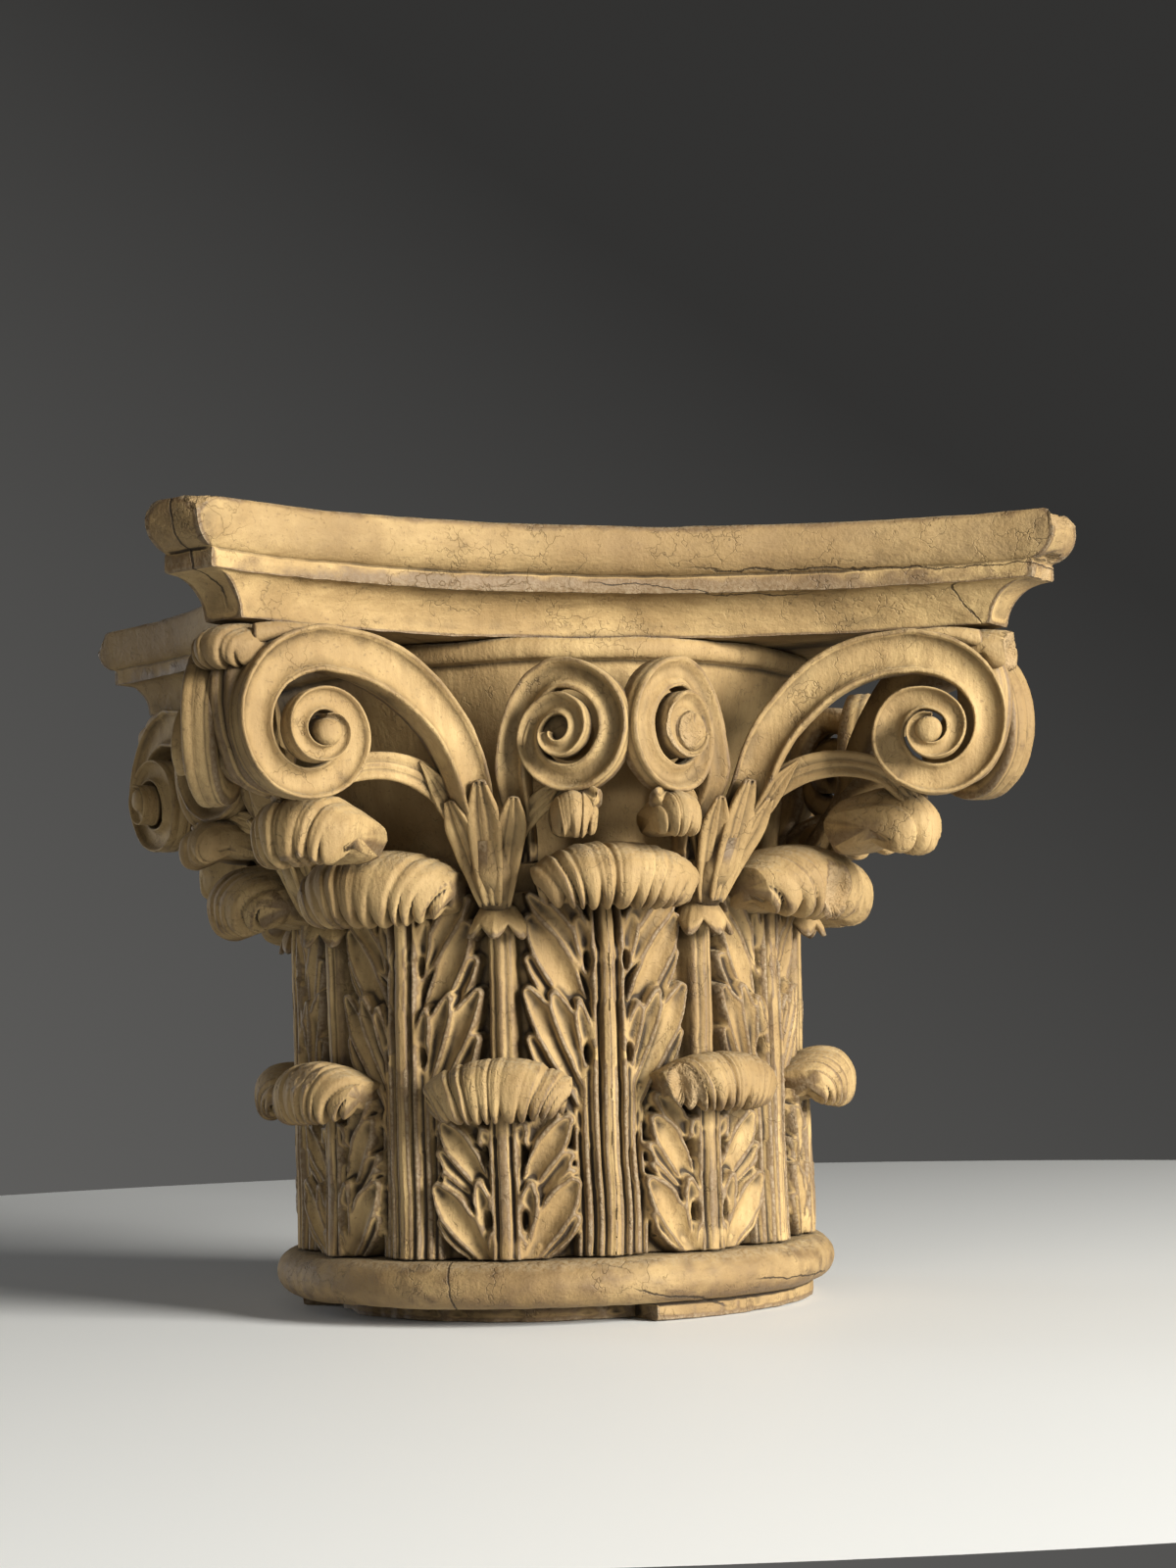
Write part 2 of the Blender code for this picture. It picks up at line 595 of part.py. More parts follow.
def build_arms(collection):
    first, last = CORNER_ARM_TURNS
    root, tip = (first, ARM_REACH, ARM_HEIGHT), (last, CORNER_ARM_REACH, CORNER_ARM_HEIGHT)
    copies("corner_arm", arm_sections(root, tip, CORNER_ARM, 0.0), collection)
    first, last = INNER_ARM_TURNS
    root, tip = (first, ARM_REACH, ARM_HEIGHT), (last, INNER_ARM_REACH, INNER_ARM_HEIGHT)
    copies("inner_arm", arm_sections(root, tip, INNER_ARM, 0.5), collection)


def build_bell(collection, ornament):
    bell = build_core(collection)
    build_leaves(ornament)
    build_stalks(ornament)
    build_volutes(ornament)
    build_scrolls(ornament)
    build_corners(ornament)
    build_arms(ornament)
    join(bell, ornament, "UNION")
    lighten = bell.modifiers.new("lighten", "DECIMATE")
    lighten.ratio = BELL_KEPT_FACES
    return bell


def main():
    clear_scene()
    capital = new_collection("corinthian_capital")
    ornament = new_collection("bell_ornament")
    ring_loss = new_collection("ring_loss")
    abacus_loss = new_collection("abacus_loss")
    wood = material("worn_painted_wood", (0.60, 0.44, 0.22), 0.62)
    for obj in (
        build_ring(capital, ring_loss),
        build_bell(capital, ornament),
        build_abacus(capital, abacus_loss),
    ):
        obj.data.materials.append(wood)
    for collection in (ornament, ring_loss, abacus_loss):
        hide(collection)


main()
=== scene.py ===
"""The finished look of the carved wooden Corinthian capital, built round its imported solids.

Lengths in this file are in millimetres unless a name says otherwise, and turns are in degrees from
the front, which faces -Y, towards +X."""

from math import atan2, cos, pi, radians, sin, tau

import bpy
import numpy as np
from mathutils import Matrix, Vector
from mathutils.bvhtree import BVHTree


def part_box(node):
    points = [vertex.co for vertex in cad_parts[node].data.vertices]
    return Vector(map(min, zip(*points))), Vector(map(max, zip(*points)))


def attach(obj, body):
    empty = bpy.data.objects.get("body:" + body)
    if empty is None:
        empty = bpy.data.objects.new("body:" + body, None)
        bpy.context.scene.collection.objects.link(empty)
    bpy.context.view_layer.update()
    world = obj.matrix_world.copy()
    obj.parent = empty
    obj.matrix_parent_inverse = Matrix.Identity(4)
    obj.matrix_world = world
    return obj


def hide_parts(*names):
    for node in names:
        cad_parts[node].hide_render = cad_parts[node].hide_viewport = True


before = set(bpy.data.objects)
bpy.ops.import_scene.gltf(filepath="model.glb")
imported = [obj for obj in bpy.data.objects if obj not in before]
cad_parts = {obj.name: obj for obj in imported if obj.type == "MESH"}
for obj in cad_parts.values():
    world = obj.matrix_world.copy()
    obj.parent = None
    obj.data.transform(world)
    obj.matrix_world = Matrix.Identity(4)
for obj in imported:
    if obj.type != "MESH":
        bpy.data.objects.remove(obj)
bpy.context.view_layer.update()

MM = 0.001

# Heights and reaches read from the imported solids
RING_LOW, RING_HIGH = (np.array(corner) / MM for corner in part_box("neck_ring"))
BELL_LOW, BELL_HIGH = (np.array(corner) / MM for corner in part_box("bell"))
ABACUS_LOW, ABACUS_HIGH = (np.array(corner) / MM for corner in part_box("abacus"))

BOX_LOW = np.minimum(RING_LOW, np.minimum(BELL_LOW, ABACUS_LOW))
BOX_HIGH = np.maximum(RING_HIGH, np.maximum(BELL_HIGH, ABACUS_HIGH))

# The carved block
CORE_RADIUS = 54.3
LIP_RADIUS = 65.8
LIP_HEIGHT = 4.6
DRUM_TOP = 93.0
DRUM_INSIDE = 47.0
DRUM_FRONT_GRID = (270, 226)
DRUM_BACK_GRID = (150, 132)
LEAF_RADIUS = 59.0
LEAF_COUNT = 8
LEAF_STEP = 360 / LEAF_COUNT
STALK_TURN = LEAF_STEP / 2
CURL_POINTS = 38
THROAT_COLUMNS = 220
THROAT_ROWS = 40
RING_COLUMNS = 720
SIDES = 4
BREAK_ROUGHNESS = 0.5

# The paint and what shows through it, linear colours
PAINT_LIGHT = (0.44, 0.315, 0.145)
PAINT_DEEP = (0.25, 0.165, 0.070)
BARE_WOOD = (0.125, 0.078, 0.038)
# Near black: dirt in the hollows and cracks, and painted shade in closed-in places
DIRT_AND_PAINTED_SHADE = (0.020, 0.012, 0.006)
PALE_DUST = (0.44, 0.37, 0.25)
FRESH_BREAK = (0.32, 0.23, 0.125)


# Points, curves and noise


def polar(turn, radius, height):
    """Points at turns in degrees from the front towards +X; every argument may be an array."""
    angle = np.radians(turn)
    return np.stack(np.broadcast_arrays(radius * np.sin(angle), -radius * np.cos(angle), height), -1)


def ease(share):
    share = np.clip(share, 0.0, 1.0)
    return share * share * (3 - 2 * share)


def through(places, values, at):
    """A smooth curve through values at the given places, read at other places."""
    places, values, at = np.asarray(places, float), np.asarray(values, float), np.asarray(at, float)
    flat = values.reshape(len(values), -1)
    slopes = np.gradient(flat, places, axis=0)
    index = np.clip(np.searchsorted(places, at, side="right") - 1, 0, len(places) - 2)
    step = (places[index + 1] - places[index])[:, None]
    t = ((at - places[index]) / step[:, 0])[:, None]
    read = (
        (2 * t**3 - 3 * t**2 + 1) * flat[index]
        + (t**3 - 2 * t**2 + t) * step * slopes[index]
        + (3 * t**2 - 2 * t**3) * flat[index + 1]
        + (t**3 - t**2) * step * slopes[index + 1]
    )
    return read.reshape((len(at),) + values.shape[1:])


LATTICE = np.random.RandomState(7).uniform(-1.0, 1.0, (32, 32, 32))


def noise(points, size):
    """Smooth random values between -1 and 1 with features about as wide as the size."""
    scaled = np.asarray(points, float) / size + 11.3
    cell = np.floor(scaled).astype(int)
    part = ease(scaled - cell)
    total = np.zeros(scaled.shape[:-1])
    for corner in np.ndindex(2, 2, 2):
        weight = np.prod(np.where(corner, part, 1 - part), axis=-1)
        place = (cell + corner) % 32
        total += weight * LATTICE[place[..., 0], place[..., 1], place[..., 2]]
    return total


def hand_carved(points, coarse, fine):
    """Moves points a little, as a hand-cut surface strays from its drawing."""
    moved = np.array(points, float)
    for axis in range(3):
        shift = np.zeros(3)
        shift[axis] = 61.0 * (axis + 1)
        moved[..., axis] += coarse * noise(points + shift, 14.0) + fine * noise(points - shift, 3.2)
    return moved


# Solids made from rows of points


def tube(sections, closed=False):
    """A closed solid through loops of points: an array of (station, point, xyz)."""
    stations, count = sections.shape[:2]
    points = sections.reshape(-1, 3)
    around = np.arange(count)
    after = (around + 1) % count
    rows = np.arange(stations if closed else stations - 1)[:, None]
    following = (rows + 1) % stations
    quads = np.stack(
        [rows * count + around, rows * count + after, following * count + after, following * count + around],
        -1,
    ).reshape(-1, 4)
    faces = [quads]
    if not closed:
        ends = []
        for row, flip in ((0, True), (stations - 1, False)):
            middle = np.full(count, len(points))
            points = np.vstack([points, sections[row].mean(0)])
            first, second = row * count + around, row * count + after
            if flip:
                first, second = second, first
            ends.append(np.stack([first, second, middle], -1))
        faces += ends
    return outward(points, faces)


def outward(points, faces):
    """The same solid with its faces turned to point outwards."""
    volume = 0.0
    for group in faces:
        corners = points[group]
        for index in range(1, group.shape[1] - 1):
            cross = np.cross(corners[:, index], corners[:, index + 1])
            volume += np.einsum("ij,ij->", corners[:, 0], cross)
    if volume < 0:
        faces = [group[:, ::-1] for group in faces]
    return points, faces


def sweep(path, side, out, profile, half, depth=1.0):
    """A bar along a path; profile is points of (share of the half width, mm outwards)."""
    path, side, out = (np.asarray(value, float) for value in (path, side, out))
    half = np.broadcast_to(half, len(path))[:, None, None]
    depth = np.broadcast_to(depth, len(path))[:, None, None]
    across, lift = np.asarray(profile, float).T[:, None, :, None]
    return tube(path[:, None] + side[:, None] * across * half + out[:, None] * lift * depth)


def heading(points):
    """The unit way along a row of points, at each of them."""
    along = np.gradient(points, axis=0)
    return along / np.linalg.norm(along, axis=1)[:, None]


def repeat(solids, mirrored=True):
    """Copies of solids on all four sides, with mirror images unless told otherwise."""
    made = []
    for index in range(SIDES):
        angle = tau * index / SIDES
        for sign in (1, -1) if mirrored else (1,):
            spin = np.array([[cos(angle), -sin(angle), 0], [sin(angle), cos(angle), 0], [0, 0, 1]])
            spin = spin @ np.diag([sign, 1, 1])
            for points, faces in solids:
                turned = faces if sign > 0 else [group[:, ::-1] for group in faces]
                made.append((points @ spin.T, turned))
    return made


# Marks: numbers that the points of a mesh carry for its material


def read_vectors(rows, field):
    flat = np.empty(len(rows) * 3)
    rows.foreach_get(field, flat)
    return flat.reshape(-1, 3)


def read_edges(mesh):
    ends = np.empty(len(mesh.edges) * 2, dtype=np.int32)
    mesh.edges.foreach_get("vertices", ends)
    return ends.reshape(-1, 2)


def write_mark(mesh, name, values):
    mark = mesh.attributes.new(name, "FLOAT", "POINT")
    mark.data.foreach_set("value", values.astype(np.float32))


def from_neighbours(values, ends):
    """For each point, the sum of the values at the other ends of its edges."""
    gathered = np.bincount(ends[:, 0], values[ends[:, 1]], len(values))
    return gathered + np.bincount(ends[:, 1], values[ends[:, 0]], len(values))


def relief_marks(mesh, reach):
    """Writes how far each point stands out of, or lies below, the surface round it, in mm."""
    points = read_vectors(mesh.vertices, "co") / MM
    normals = read_vectors(mesh.vertex_normals, "vector")
    ends = read_edges(mesh)
    lengths = np.linalg.norm(points[ends[:, 0]] - points[ends[:, 1]], axis=1)
    length = np.median(lengths)
    ends = ends[lengths < 4 * length]
    steps = int(np.clip((reach / length) ** 2, 2, 40))
    links = np.bincount(ends.ravel(), minlength=len(points))
    soft = points.copy()
    for _ in range(steps):
        gathered = np.stack([from_neighbours(soft[:, axis], ends) for axis in range(3)], -1)
        soft = 0.4 * soft + 0.6 * gathered / np.maximum(links, 1)[:, None]
    proud = np.einsum("ij,ij->i", points - soft, normals)
    # What a thin bar has all over is no edge
    wide = proud.copy()
    for _ in range(2 * steps + 8):
        wide = 0.3 * wide + 0.7 * from_neighbours(wide, ends) / np.maximum(links, 1)
    write_mark(mesh, "proud", np.clip(proud - 0.8 * wide, -0.6, 0.4))


def break_off(points, place, facing, size):
    """Flattens what stands beyond a rough plane near a place, and says how broken each point is."""
    facing = np.array(facing, float) / np.linalg.norm(facing)
    away = points - np.array(place, float)
    ragged = BREAK_ROUGHNESS * (noise(points, 2.2) + 0.5 * noise(points, 0.9))
    over = away @ facing + ragged
    near = ease((size - np.linalg.norm(away, axis=1)) / (0.15 * size))
    lost = np.clip(over, 0, None) * near
    return points - facing * lost[:, None], ease(lost / 0.25)


PIECES = []


def piece(
    name, solids, node, look, carve=(0.45, 0.12), reach=1.6, breaks=(), sharp=None, rubbed=0.0,
):
    """One visible object made of closed solids, which stands for a node of the frame."""
    points, faces, start = [], [], 0
    for solid_points, solid_faces in solids:
        points.append(solid_points)
        faces += [group + start for group in solid_faces]
        start += len(solid_points)
    points = hand_carved(np.vstack(points), *carve)
    points = np.clip(points, BOX_LOW, BOX_HIGH)
    broken = np.zeros(len(points))
    for place, facing, size in breaks:
        points, lost = break_off(points, place, facing, size)
        broken = np.maximum(broken, lost)
    mesh = bpy.data.meshes.new(name)
    mesh.vertices.add(len(points))
    mesh.vertices.foreach_set("co", (points * MM).ravel())
    corners = np.concatenate([group.ravel() for group in faces])
    sizes = np.concatenate([np.full(len(group), group.shape[1]) for group in faces])
    mesh.loops.add(len(corners))
    mesh.loops.foreach_set("vertex_index", corners.astype(np.int32))
    mesh.polygons.add(len(sizes))
    mesh.polygons.foreach_set("loop_start", np.concatenate([[0], np.cumsum(sizes)[:-1]]).astype(np.int32))
    mesh.update(calc_edges=True)
    mesh.shade_smooth()
    relief_marks(mesh, reach)
    write_mark(mesh, "broken", broken)
    write_mark(mesh, "rubbed", rubbed(points) if callable(rubbed) else np.full(len(points), rubbed))
    if sharp:
        mesh.set_sharp_from_angle(angle=radians(sharp))
    made = bpy.data.objects.new(name, mesh)
    bpy.context.scene.collection.objects.link(made)
    mesh.materials.append(look)
    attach(made, "root")
    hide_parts(node)
    PIECES.append(made)


# How far, and with how many rays, each point looks for the solids that close it in, for painted shade
SHADE_REACH = 11.0
SHADE_RAYS = 8


def paint_occlusion_shade(pieces):
    """Writes on each point how closed in it is, from 0 in the open to 1 in a hole: painted shade that
    darkens closed-in places in the materials.
    """
    points, faces, start = [], [], 0
    for made in pieces:
        mesh = made.data
        points.append(read_vectors(mesh.vertices, "co") / MM)
        faces += [[start + index for index in polygon.vertices] for polygon in mesh.polygons]
        start += len(mesh.vertices)
    tree = BVHTree.FromPolygons(np.vstack(points).tolist(), faces)
    spiral = (np.arange(2 * SHADE_RAYS) + 0.5) / (2 * SHADE_RAYS)
    turns = pi * (1 + 5**0.5) * np.arange(2 * SHADE_RAYS)
    flat_part = np.sqrt(1 - (1 - 2 * spiral) ** 2)
    ways = np.stack([np.cos(turns) * flat_part, np.sin(turns) * flat_part, 1 - 2 * spiral], -1)
    rays = [Vector(way) for way in ways]
    for made, places in zip(pieces, points):
        mesh = made.data
        normals = read_vectors(mesh.vertex_normals, "vector")
        facing = normals @ ways.T
        hits = np.zeros(len(places))
        origins = (places + 0.3 * normals).tolist()
        for index, (origin, toward) in enumerate(zip(origins, facing.tolist())):
            for ray, share in zip(rays, toward):
                if share > 0.15:
                    far = tree.ray_cast(origin, ray, SHADE_REACH)[3]
                    if far is not None:
                        hits[index] += share * (1 - 0.5 * far / SHADE_REACH)
        open_share = np.clip(facing, 0, None).sum(1)
        occlusion_shade = hits / np.maximum(open_share, 0.1)
        ends = read_edges(mesh)
        links = np.bincount(ends.ravel(), minlength=len(places))
        for _ in range(3):
            occlusion_shade = 0.5 * occlusion_shade + 0.5 * from_neighbours(occlusion_shade, ends) / np.maximum(links, 1)
        write_mark(mesh, "occlusion_shade", occlusion_shade)


# Materials


def mapped(tree, value, low, high, to_low=0.0, to_high=1.0):
    """A value stretched from one range to another and held inside it."""
    made = tree.nodes.new("ShaderNodeMapRange")
    tree.links.new(value, made.inputs["Value"])
    for key, number in (("From Min", low), ("From Max", high), ("To Min", to_low), ("To Max", to_high)):
        made.inputs[key].default_value = number
    return made.outputs["Result"]


def maths(tree, operation, *values):
    made = tree.nodes.new("ShaderNodeMath")
    made.operation = operation
    for socket, value in zip(made.inputs, values):
        if isinstance(value, (int, float)):
            socket.default_value = value
        else:
            tree.links.new(value, socket)
    return made.outputs[0]


def blend(tree, amount, first, second):
    """A colour mixed from two colours or colour sockets."""
    made = tree.nodes.new("ShaderNodeMix")
    made.data_type = "RGBA"
    tree.links.new(amount, made.inputs[0])
    for socket, value in ((made.inputs[6], first), (made.inputs[7], second)):
        if isinstance(value, tuple):
            socket.default_value = (*value, 1.0)
        else:
            tree.links.new(value, socket)
    return made.outputs[2]


def split_line(tree, place, ragged, crack):
    """A crack where a wavy plane meets the surface, within a distance of its middle."""
    middle, across, reach, width = crack
    across = Vector(across).normalized()
    away = tree.nodes.new("ShaderNodeVectorMath")
    away.operation = "SUBTRACT"
    tree.links.new(place, away.inputs[0])
    away.inputs[1].default_value = tuple(value * MM for value in middle)
    flat = tree.nodes.new("ShaderNodeVectorMath")
    flat.operation = "DOT_PRODUCT"
    tree.links.new(away.outputs[0], flat.inputs[0])
    flat.inputs[1].default_value = across
    far = tree.nodes.new("ShaderNodeVectorMath")
    far.operation = "LENGTH"
    tree.links.new(away.outputs[0], far.inputs[0])
    off = maths(tree, "ADD", flat.outputs["Value"], ragged)
    line = mapped(tree, maths(tree, "ABSOLUTE", off), width * MM * 0.4, width * MM, 1.0, 0.0)
    near = mapped(tree, far.outputs["Value"], reach * MM * 0.8, reach * MM, 1.0, 0.0)
    return maths(tree, "MULTIPLY", line, near)


def painted_wood(name, wear, grain=(1.0, 1.0, 1.0), cracks=(), crazing=0.35):
    """Old ochre paint on carved wood: worn on what stands out, dirty in its hollows, and darkened with
    painted shade where it is closed in.
    """
    look = bpy.data.materials.new(name)
    look.use_nodes = True
    tree = look.node_tree
    shader = tree.nodes["Principled BSDF"]
    place = tree.nodes.new("ShaderNodeTexCoord").outputs["Object"]

    def plus(first, second):
        return maths(tree, "ADD", first, second)

    def times(first, second):
        return maths(tree, "MULTIPLY", first, second)

    def mark(attribute):
        made = tree.nodes.new("ShaderNodeAttribute")
        made.attribute_name = attribute
        return made.outputs["Fac"]

    def speckle(scale, detail, roughness=0.6, stretch=None, colour=False):
        made = tree.nodes.new("ShaderNodeTexNoise")
        made.inputs["Scale"].default_value = scale
        made.inputs["Detail"].default_value = detail
        made.inputs["Roughness"].default_value = roughness
        source = place
        if stretch:
            turned = tree.nodes.new("ShaderNodeMapping")
            turned.inputs["Scale"].default_value = stretch
            tree.links.new(place, turned.inputs["Vector"])
            source = turned.outputs["Vector"]
        tree.links.new(source, made.inputs["Vector"])
        return made.outputs["Color" if colour else "Fac"]

    proud, broken, rubbed, occlusion_shade = mark("proud"), mark("broken"), mark("rubbed"), mark("occlusion_shade")
    clouds = speckle(30.0, 5.0)
    patches = speckle(75.0, 6.0, 0.7)
    fibres = speckle(260.0, 5.0, 0.65, grain)
    flecks = speckle(1100.0, 3.0)
    colour = blend(tree, mapped(tree, clouds, 0.38, 0.62), PAINT_DEEP, PAINT_LIGHT)
    colour = blend(tree, mapped(tree, fibres, 0.40, 0.66, 0.0, 0.75), colour, PAINT_DEEP)
    colour = blend(tree, mapped(tree, flecks, 0.60, 0.72, 0.0, 0.55), colour, BARE_WOOD)
    streaks = plus(times(patches, 0.6), times(fibres, 0.4))
    bare = times(rubbed, mapped(tree, streaks, 0.42, 0.58, 1.0, 0.25))
    colour = blend(tree, bare, colour, BARE_WOOD)
    # Wear on the edges, broken up by the fibres and the patches
    ragged = plus(times(fibres, 0.5), times(patches, 0.9))
    stands_out = mapped(tree, proud, 0.02, 0.26, 0.0, 0.75)
    edge = plus(stands_out, maths(tree, "SUBTRACT", ragged, 0.7))
    worn = mapped(tree, edge, 0.20 - wear * 0.35, 0.55 - wear * 0.3, 0.0, 0.88)
    colour = blend(tree, worn, colour, BARE_WOOD)
    # The crests of the edges are rubbed pale again
    crest = times(mapped(tree, proud, 0.14, 0.36), mapped(tree, flecks, 0.40, 0.60))
    colour = blend(tree, times(crest, 0.30), colour, PALE_DUST)
    # Dirt in the hollows
    uneven = maths(tree, "SUBTRACT", times(patches, 0.8), 0.4)
    deep = plus(mapped(tree, proud, -0.04, -0.42), uneven)
    colour = blend(tree, mapped(tree, deep, 0.02, 0.75, 0.0, 0.95), colour, DIRT_AND_PAINTED_SHADE)
    # Painted shade: points closed in by the solids round them are darkened, unevenly in patches
    painted_shade = plus(occlusion_shade, times(maths(tree, "SUBTRACT", patches, 0.5), 0.5))
    colour = blend(tree, mapped(tree, painted_shade, 0.32, 0.85, 0.0, 0.88), colour, DIRT_AND_PAINTED_SHADE)
    # Pale dust where the surface faces up
    facing = tree.nodes.new("ShaderNodeNewGeometry").outputs["Normal"]
    parts = tree.nodes.new("ShaderNodeSeparateXYZ")
    tree.links.new(facing, parts.inputs[0])
    upward = mapped(tree, parts.outputs["Z"], 0.55, 0.95)
    dust = times(upward, mapped(tree, flecks, 0.36, 0.60))
    colour = blend(tree, times(dust, 0.45), colour, PALE_DUST)
    # Newer wood where something has broken away
    torn = blend(tree, mapped(tree, patches, 0.4, 0.65), FRESH_BREAK, PAINT_DEEP)
    colour = blend(tree, mapped(tree, broken, 0.2, 0.9), colour, torn)
    # Fine crazing of the paint, in patches, and the cracks of the wood
    bent = tree.nodes.new("ShaderNodeMix")
    bent.data_type = "VECTOR"
    bent.inputs[0].default_value = 0.012
    tree.links.new(place, bent.inputs[4])
    tree.links.new(speckle(170.0, 3.0, 0.6, None, True), bent.inputs[5])
    cells = tree.nodes.new("ShaderNodeTexVoronoi")
    cells.feature = "DISTANCE_TO_EDGE"
    cells.inputs["Scale"].default_value = 150.0
    tree.links.new(bent.outputs[1], cells.inputs["Vector"])
    line = mapped(tree, cells.outputs["Distance"], 0.0, 0.03, 1.0, 0.0)
    line = times(line, mapped(tree, patches, 0.47, 0.57, 0.0, crazing))
    waves = times(maths(tree, "SUBTRACT", speckle(60.0, 6.0, 0.65), 0.5), 0.005)
    for crack in cracks:
        line = maths(tree, "MAXIMUM", line, split_line(tree, place, waves, crack))
    colour = blend(tree, times(line, 0.85), colour, DIRT_AND_PAINTED_SHADE)
    tree.links.new(colour, shader.inputs["Base Color"])
    tree.links.new(mapped(tree, worn, 0.0, 0.88, 0.74, 0.58), shader.inputs["Roughness"])
    shader.inputs["Specular IOR Level"].default_value = 0.35
    height = plus(times(fibres, 0.9), times(line, -0.9))
    height = plus(height, times(flecks, 0.4))
    height = plus(height, times(patches, 0.8))
    height = plus(height, times(times(broken, flecks), 2.0))
    bump = tree.nodes.new("ShaderNodeBump")
    bump.inputs["Strength"].default_value = 0.60
    bump.inputs["Distance"].default_value = 0.0007
    tree.links.new(height, bump.inputs["Height"])
    tree.links.new(bump.outputs["Normal"], shader.inputs["Normal"])
    return look


# The carved drum: a surface of radii over turn and height, with the leaves painted on one by one

# Leaflets of one half of an upper leaf, from the back to the front. Across and height where it
# leaves the ribs, across and height of its tip, half width, and the radius of its rim
UPPER_LEAFLETS = (
    ((2.4, 78.0), (12.5, 95.0), 2.4, 60.5),
    ((2.6, 72.0), (17.0, 92.5), 2.5, 60.0),
    ((4.0, 58.0), (17.4, 79.8), 2.7, 58.0),
    ((3.2, 58.0), (17.0, 87.4), 3.3, 58.6),
    ((2.5, 69.0), (6.0, 87.2), 1.8, 58.8),
    ((4.4, 38.0), (17.6, 62.4), 2.7, 58.6),
    ((4.2, 42.0), (18.0, 72.2), 3.0, 59.2),
    ((3.8, 46.0), (11.8, 71.6), 2.3, 59.6),
    ((3.4, 49.0), (6.8, 68.9), 1.6, 59.7),
)
UPPER_EYES = ((4.5, 57.5), (4.1, 77.4))
LOWER_LEAFLETS = (
    ((2.4, 36.0), (13.0, 48.5), 2.3, 60.2),
    ((3.4, 24.0), (14.8, 33.4), 1.7, 59.2),
    ((3.2, 25.0), (15.2, 37.6), 2.3, 59.4),
    ((3.0, 26.0), (14.0, 44.4), 3.0, 59.9),
    ((2.5, 32.0), (4.2, 43.4), 1.6, 60.1),
    ((5.2, 12.0), (15.2, 23.8), 2.4, 59.5),
    ((4.2, 12.0), (15.4, 31.2), 3.3, 60.2),
    ((3.4, 15.0), (5.8, 30.8), 2.0, 60.5),
    ((2.6, 12.0), (3.3, 20.5), 1.1, 60.0),
)
LOWER_EYES = ((4.2, 36.5), (3.9, 22.8))
CHANNEL_DEPTH = 1.7
EYE_DEPTH = 4.5
EYE_SIZE = (0.75, 2.1)
STALK_HALF = 3.3
STALK_CREST = 59.2
LEAFLET_EDGE = 0.8


def leaflet(start, tip, width, spread):
    """The path and half widths of one leaflet, as (turn in mm, height) points, up to its round tip."""
    share = np.linspace(0, 1, 22)
    tip = np.array(start) + (np.array(tip) - start) * (1 - 0.5 * width / np.hypot(*np.subtract(tip, start)))
    across = start[0] + (tip[0] - start[0]) * share**spread
    height = start[1] + (tip[1] - start[1]) * share
    half = through((0, 0.25, 0.6, 0.85, 1), (0.8, 0.62 * width, width, 0.92 * width, 0.5 * width), share)
    return across, height, half


def window(turns, heights, left, right, low, high):
    """The part of a field within some turns and heights, and the places of its points."""
    columns = np.nonzero((turns > left) & (turns < right))[0]
    rows = np.nonzero((heights > low) & (heights < high))[0]
    return np.ix_(rows, columns), *np.meshgrid(turns[columns], heights[rows])


def paint_leaflet(field, turns, heights, path, rim):
    """Lays one hollow leaflet over the field of radii."""
    across, height, half = path
    left, right = across.min() - 5, across.max() + 5
    part, x, z = window(turns, heights, left, right, height.min() - 3, height.max() + 3)
    if not x.size:
        return
    best = np.full(x.shape, 1e9)
    share = np.zeros(x.shape)
    for index in range(len(across) - 1):
        ax, az = across[index], height[index]
        dx, dz = across[index + 1] - ax, height[index + 1] - az
        t = np.clip(((x - ax) * dx + (z - az) * dz) / (dx * dx + dz * dz), 0, 1)
        far = np.hypot(x - ax - t * dx, z - az - t * dz)
        nearer = far < best
        best = np.where(nearer, far, best)
        share = np.where(nearer, (index + t) / (len(across) - 1), share)
    width = np.interp(share, np.linspace(0, 1, len(half)), half)
    inside = np.clip(best / width, 0, 1.4)
    depth = CHANNEL_DEPTH * np.minimum(1.0, width / 2.4) * ease(share * 2.5)
    hollow = depth * np.clip(1 - (inside / 0.82) ** 2, 0, 1)
    rise = rim - 1.5 * (1 - ease(share * 1.5)) + 0.9 * ease((share - 0.5) * 2)
    surface = rise - hollow - 1.6 * np.clip(inside - 0.86, 0, 1) ** 1.2
    cover = ease((width - best) / LEAFLET_EDGE + 0.6)
    patch = field[part]
    # Where a leaflet comes out from under its neighbour, the higher one shows
    surface = np.where(share < 0.3, np.maximum(surface, patch - 0.2), surface)
    field[part] = patch * (1 - cover) + surface * cover


def strip(field, turns, heights, middle, half, low, high, radius, crown):
    """An upright band with softly rounded edges; half may be a pair, at the low and the high end."""
    part, x, z = window(turns, heights, middle - 8, middle + 8, low - 1, high + 1)
    if not x.size:
        return
    share = (z - low) / (high - low)
    width = half[0] + (half[1] - half[0]) * np.clip(share, 0, 1)
    level = radius[0] + (radius[1] - radius[0]) * np.clip(share, 0, 1)
    off = np.abs(x - middle)
    surface = level - crown * np.clip(off / width, 0, 1.2) ** 2
    cover = ease((width - off) / 0.6 + 0.5) * ease((z - low) / 0.8 + 0.5) * ease((high - z) / 1.6 + 0.5)
    patch = field[part]
    field[part] = patch * (1 - cover) + surface * cover


def drill(field, turns, heights, across, height):
    """A drilled and cut eye beside the ribs, with a slight rim."""
    x, z = np.meshgrid(turns - across, heights - height)
    far = np.hypot(x / EYE_SIZE[0], z / EYE_SIZE[1])
    field += 0.35 * np.exp(-(((far - 1.45) / 0.3) ** 2)) * (np.abs(x) < 3)
    field -= EYE_DEPTH * ease((1.15 - far) / 0.5)


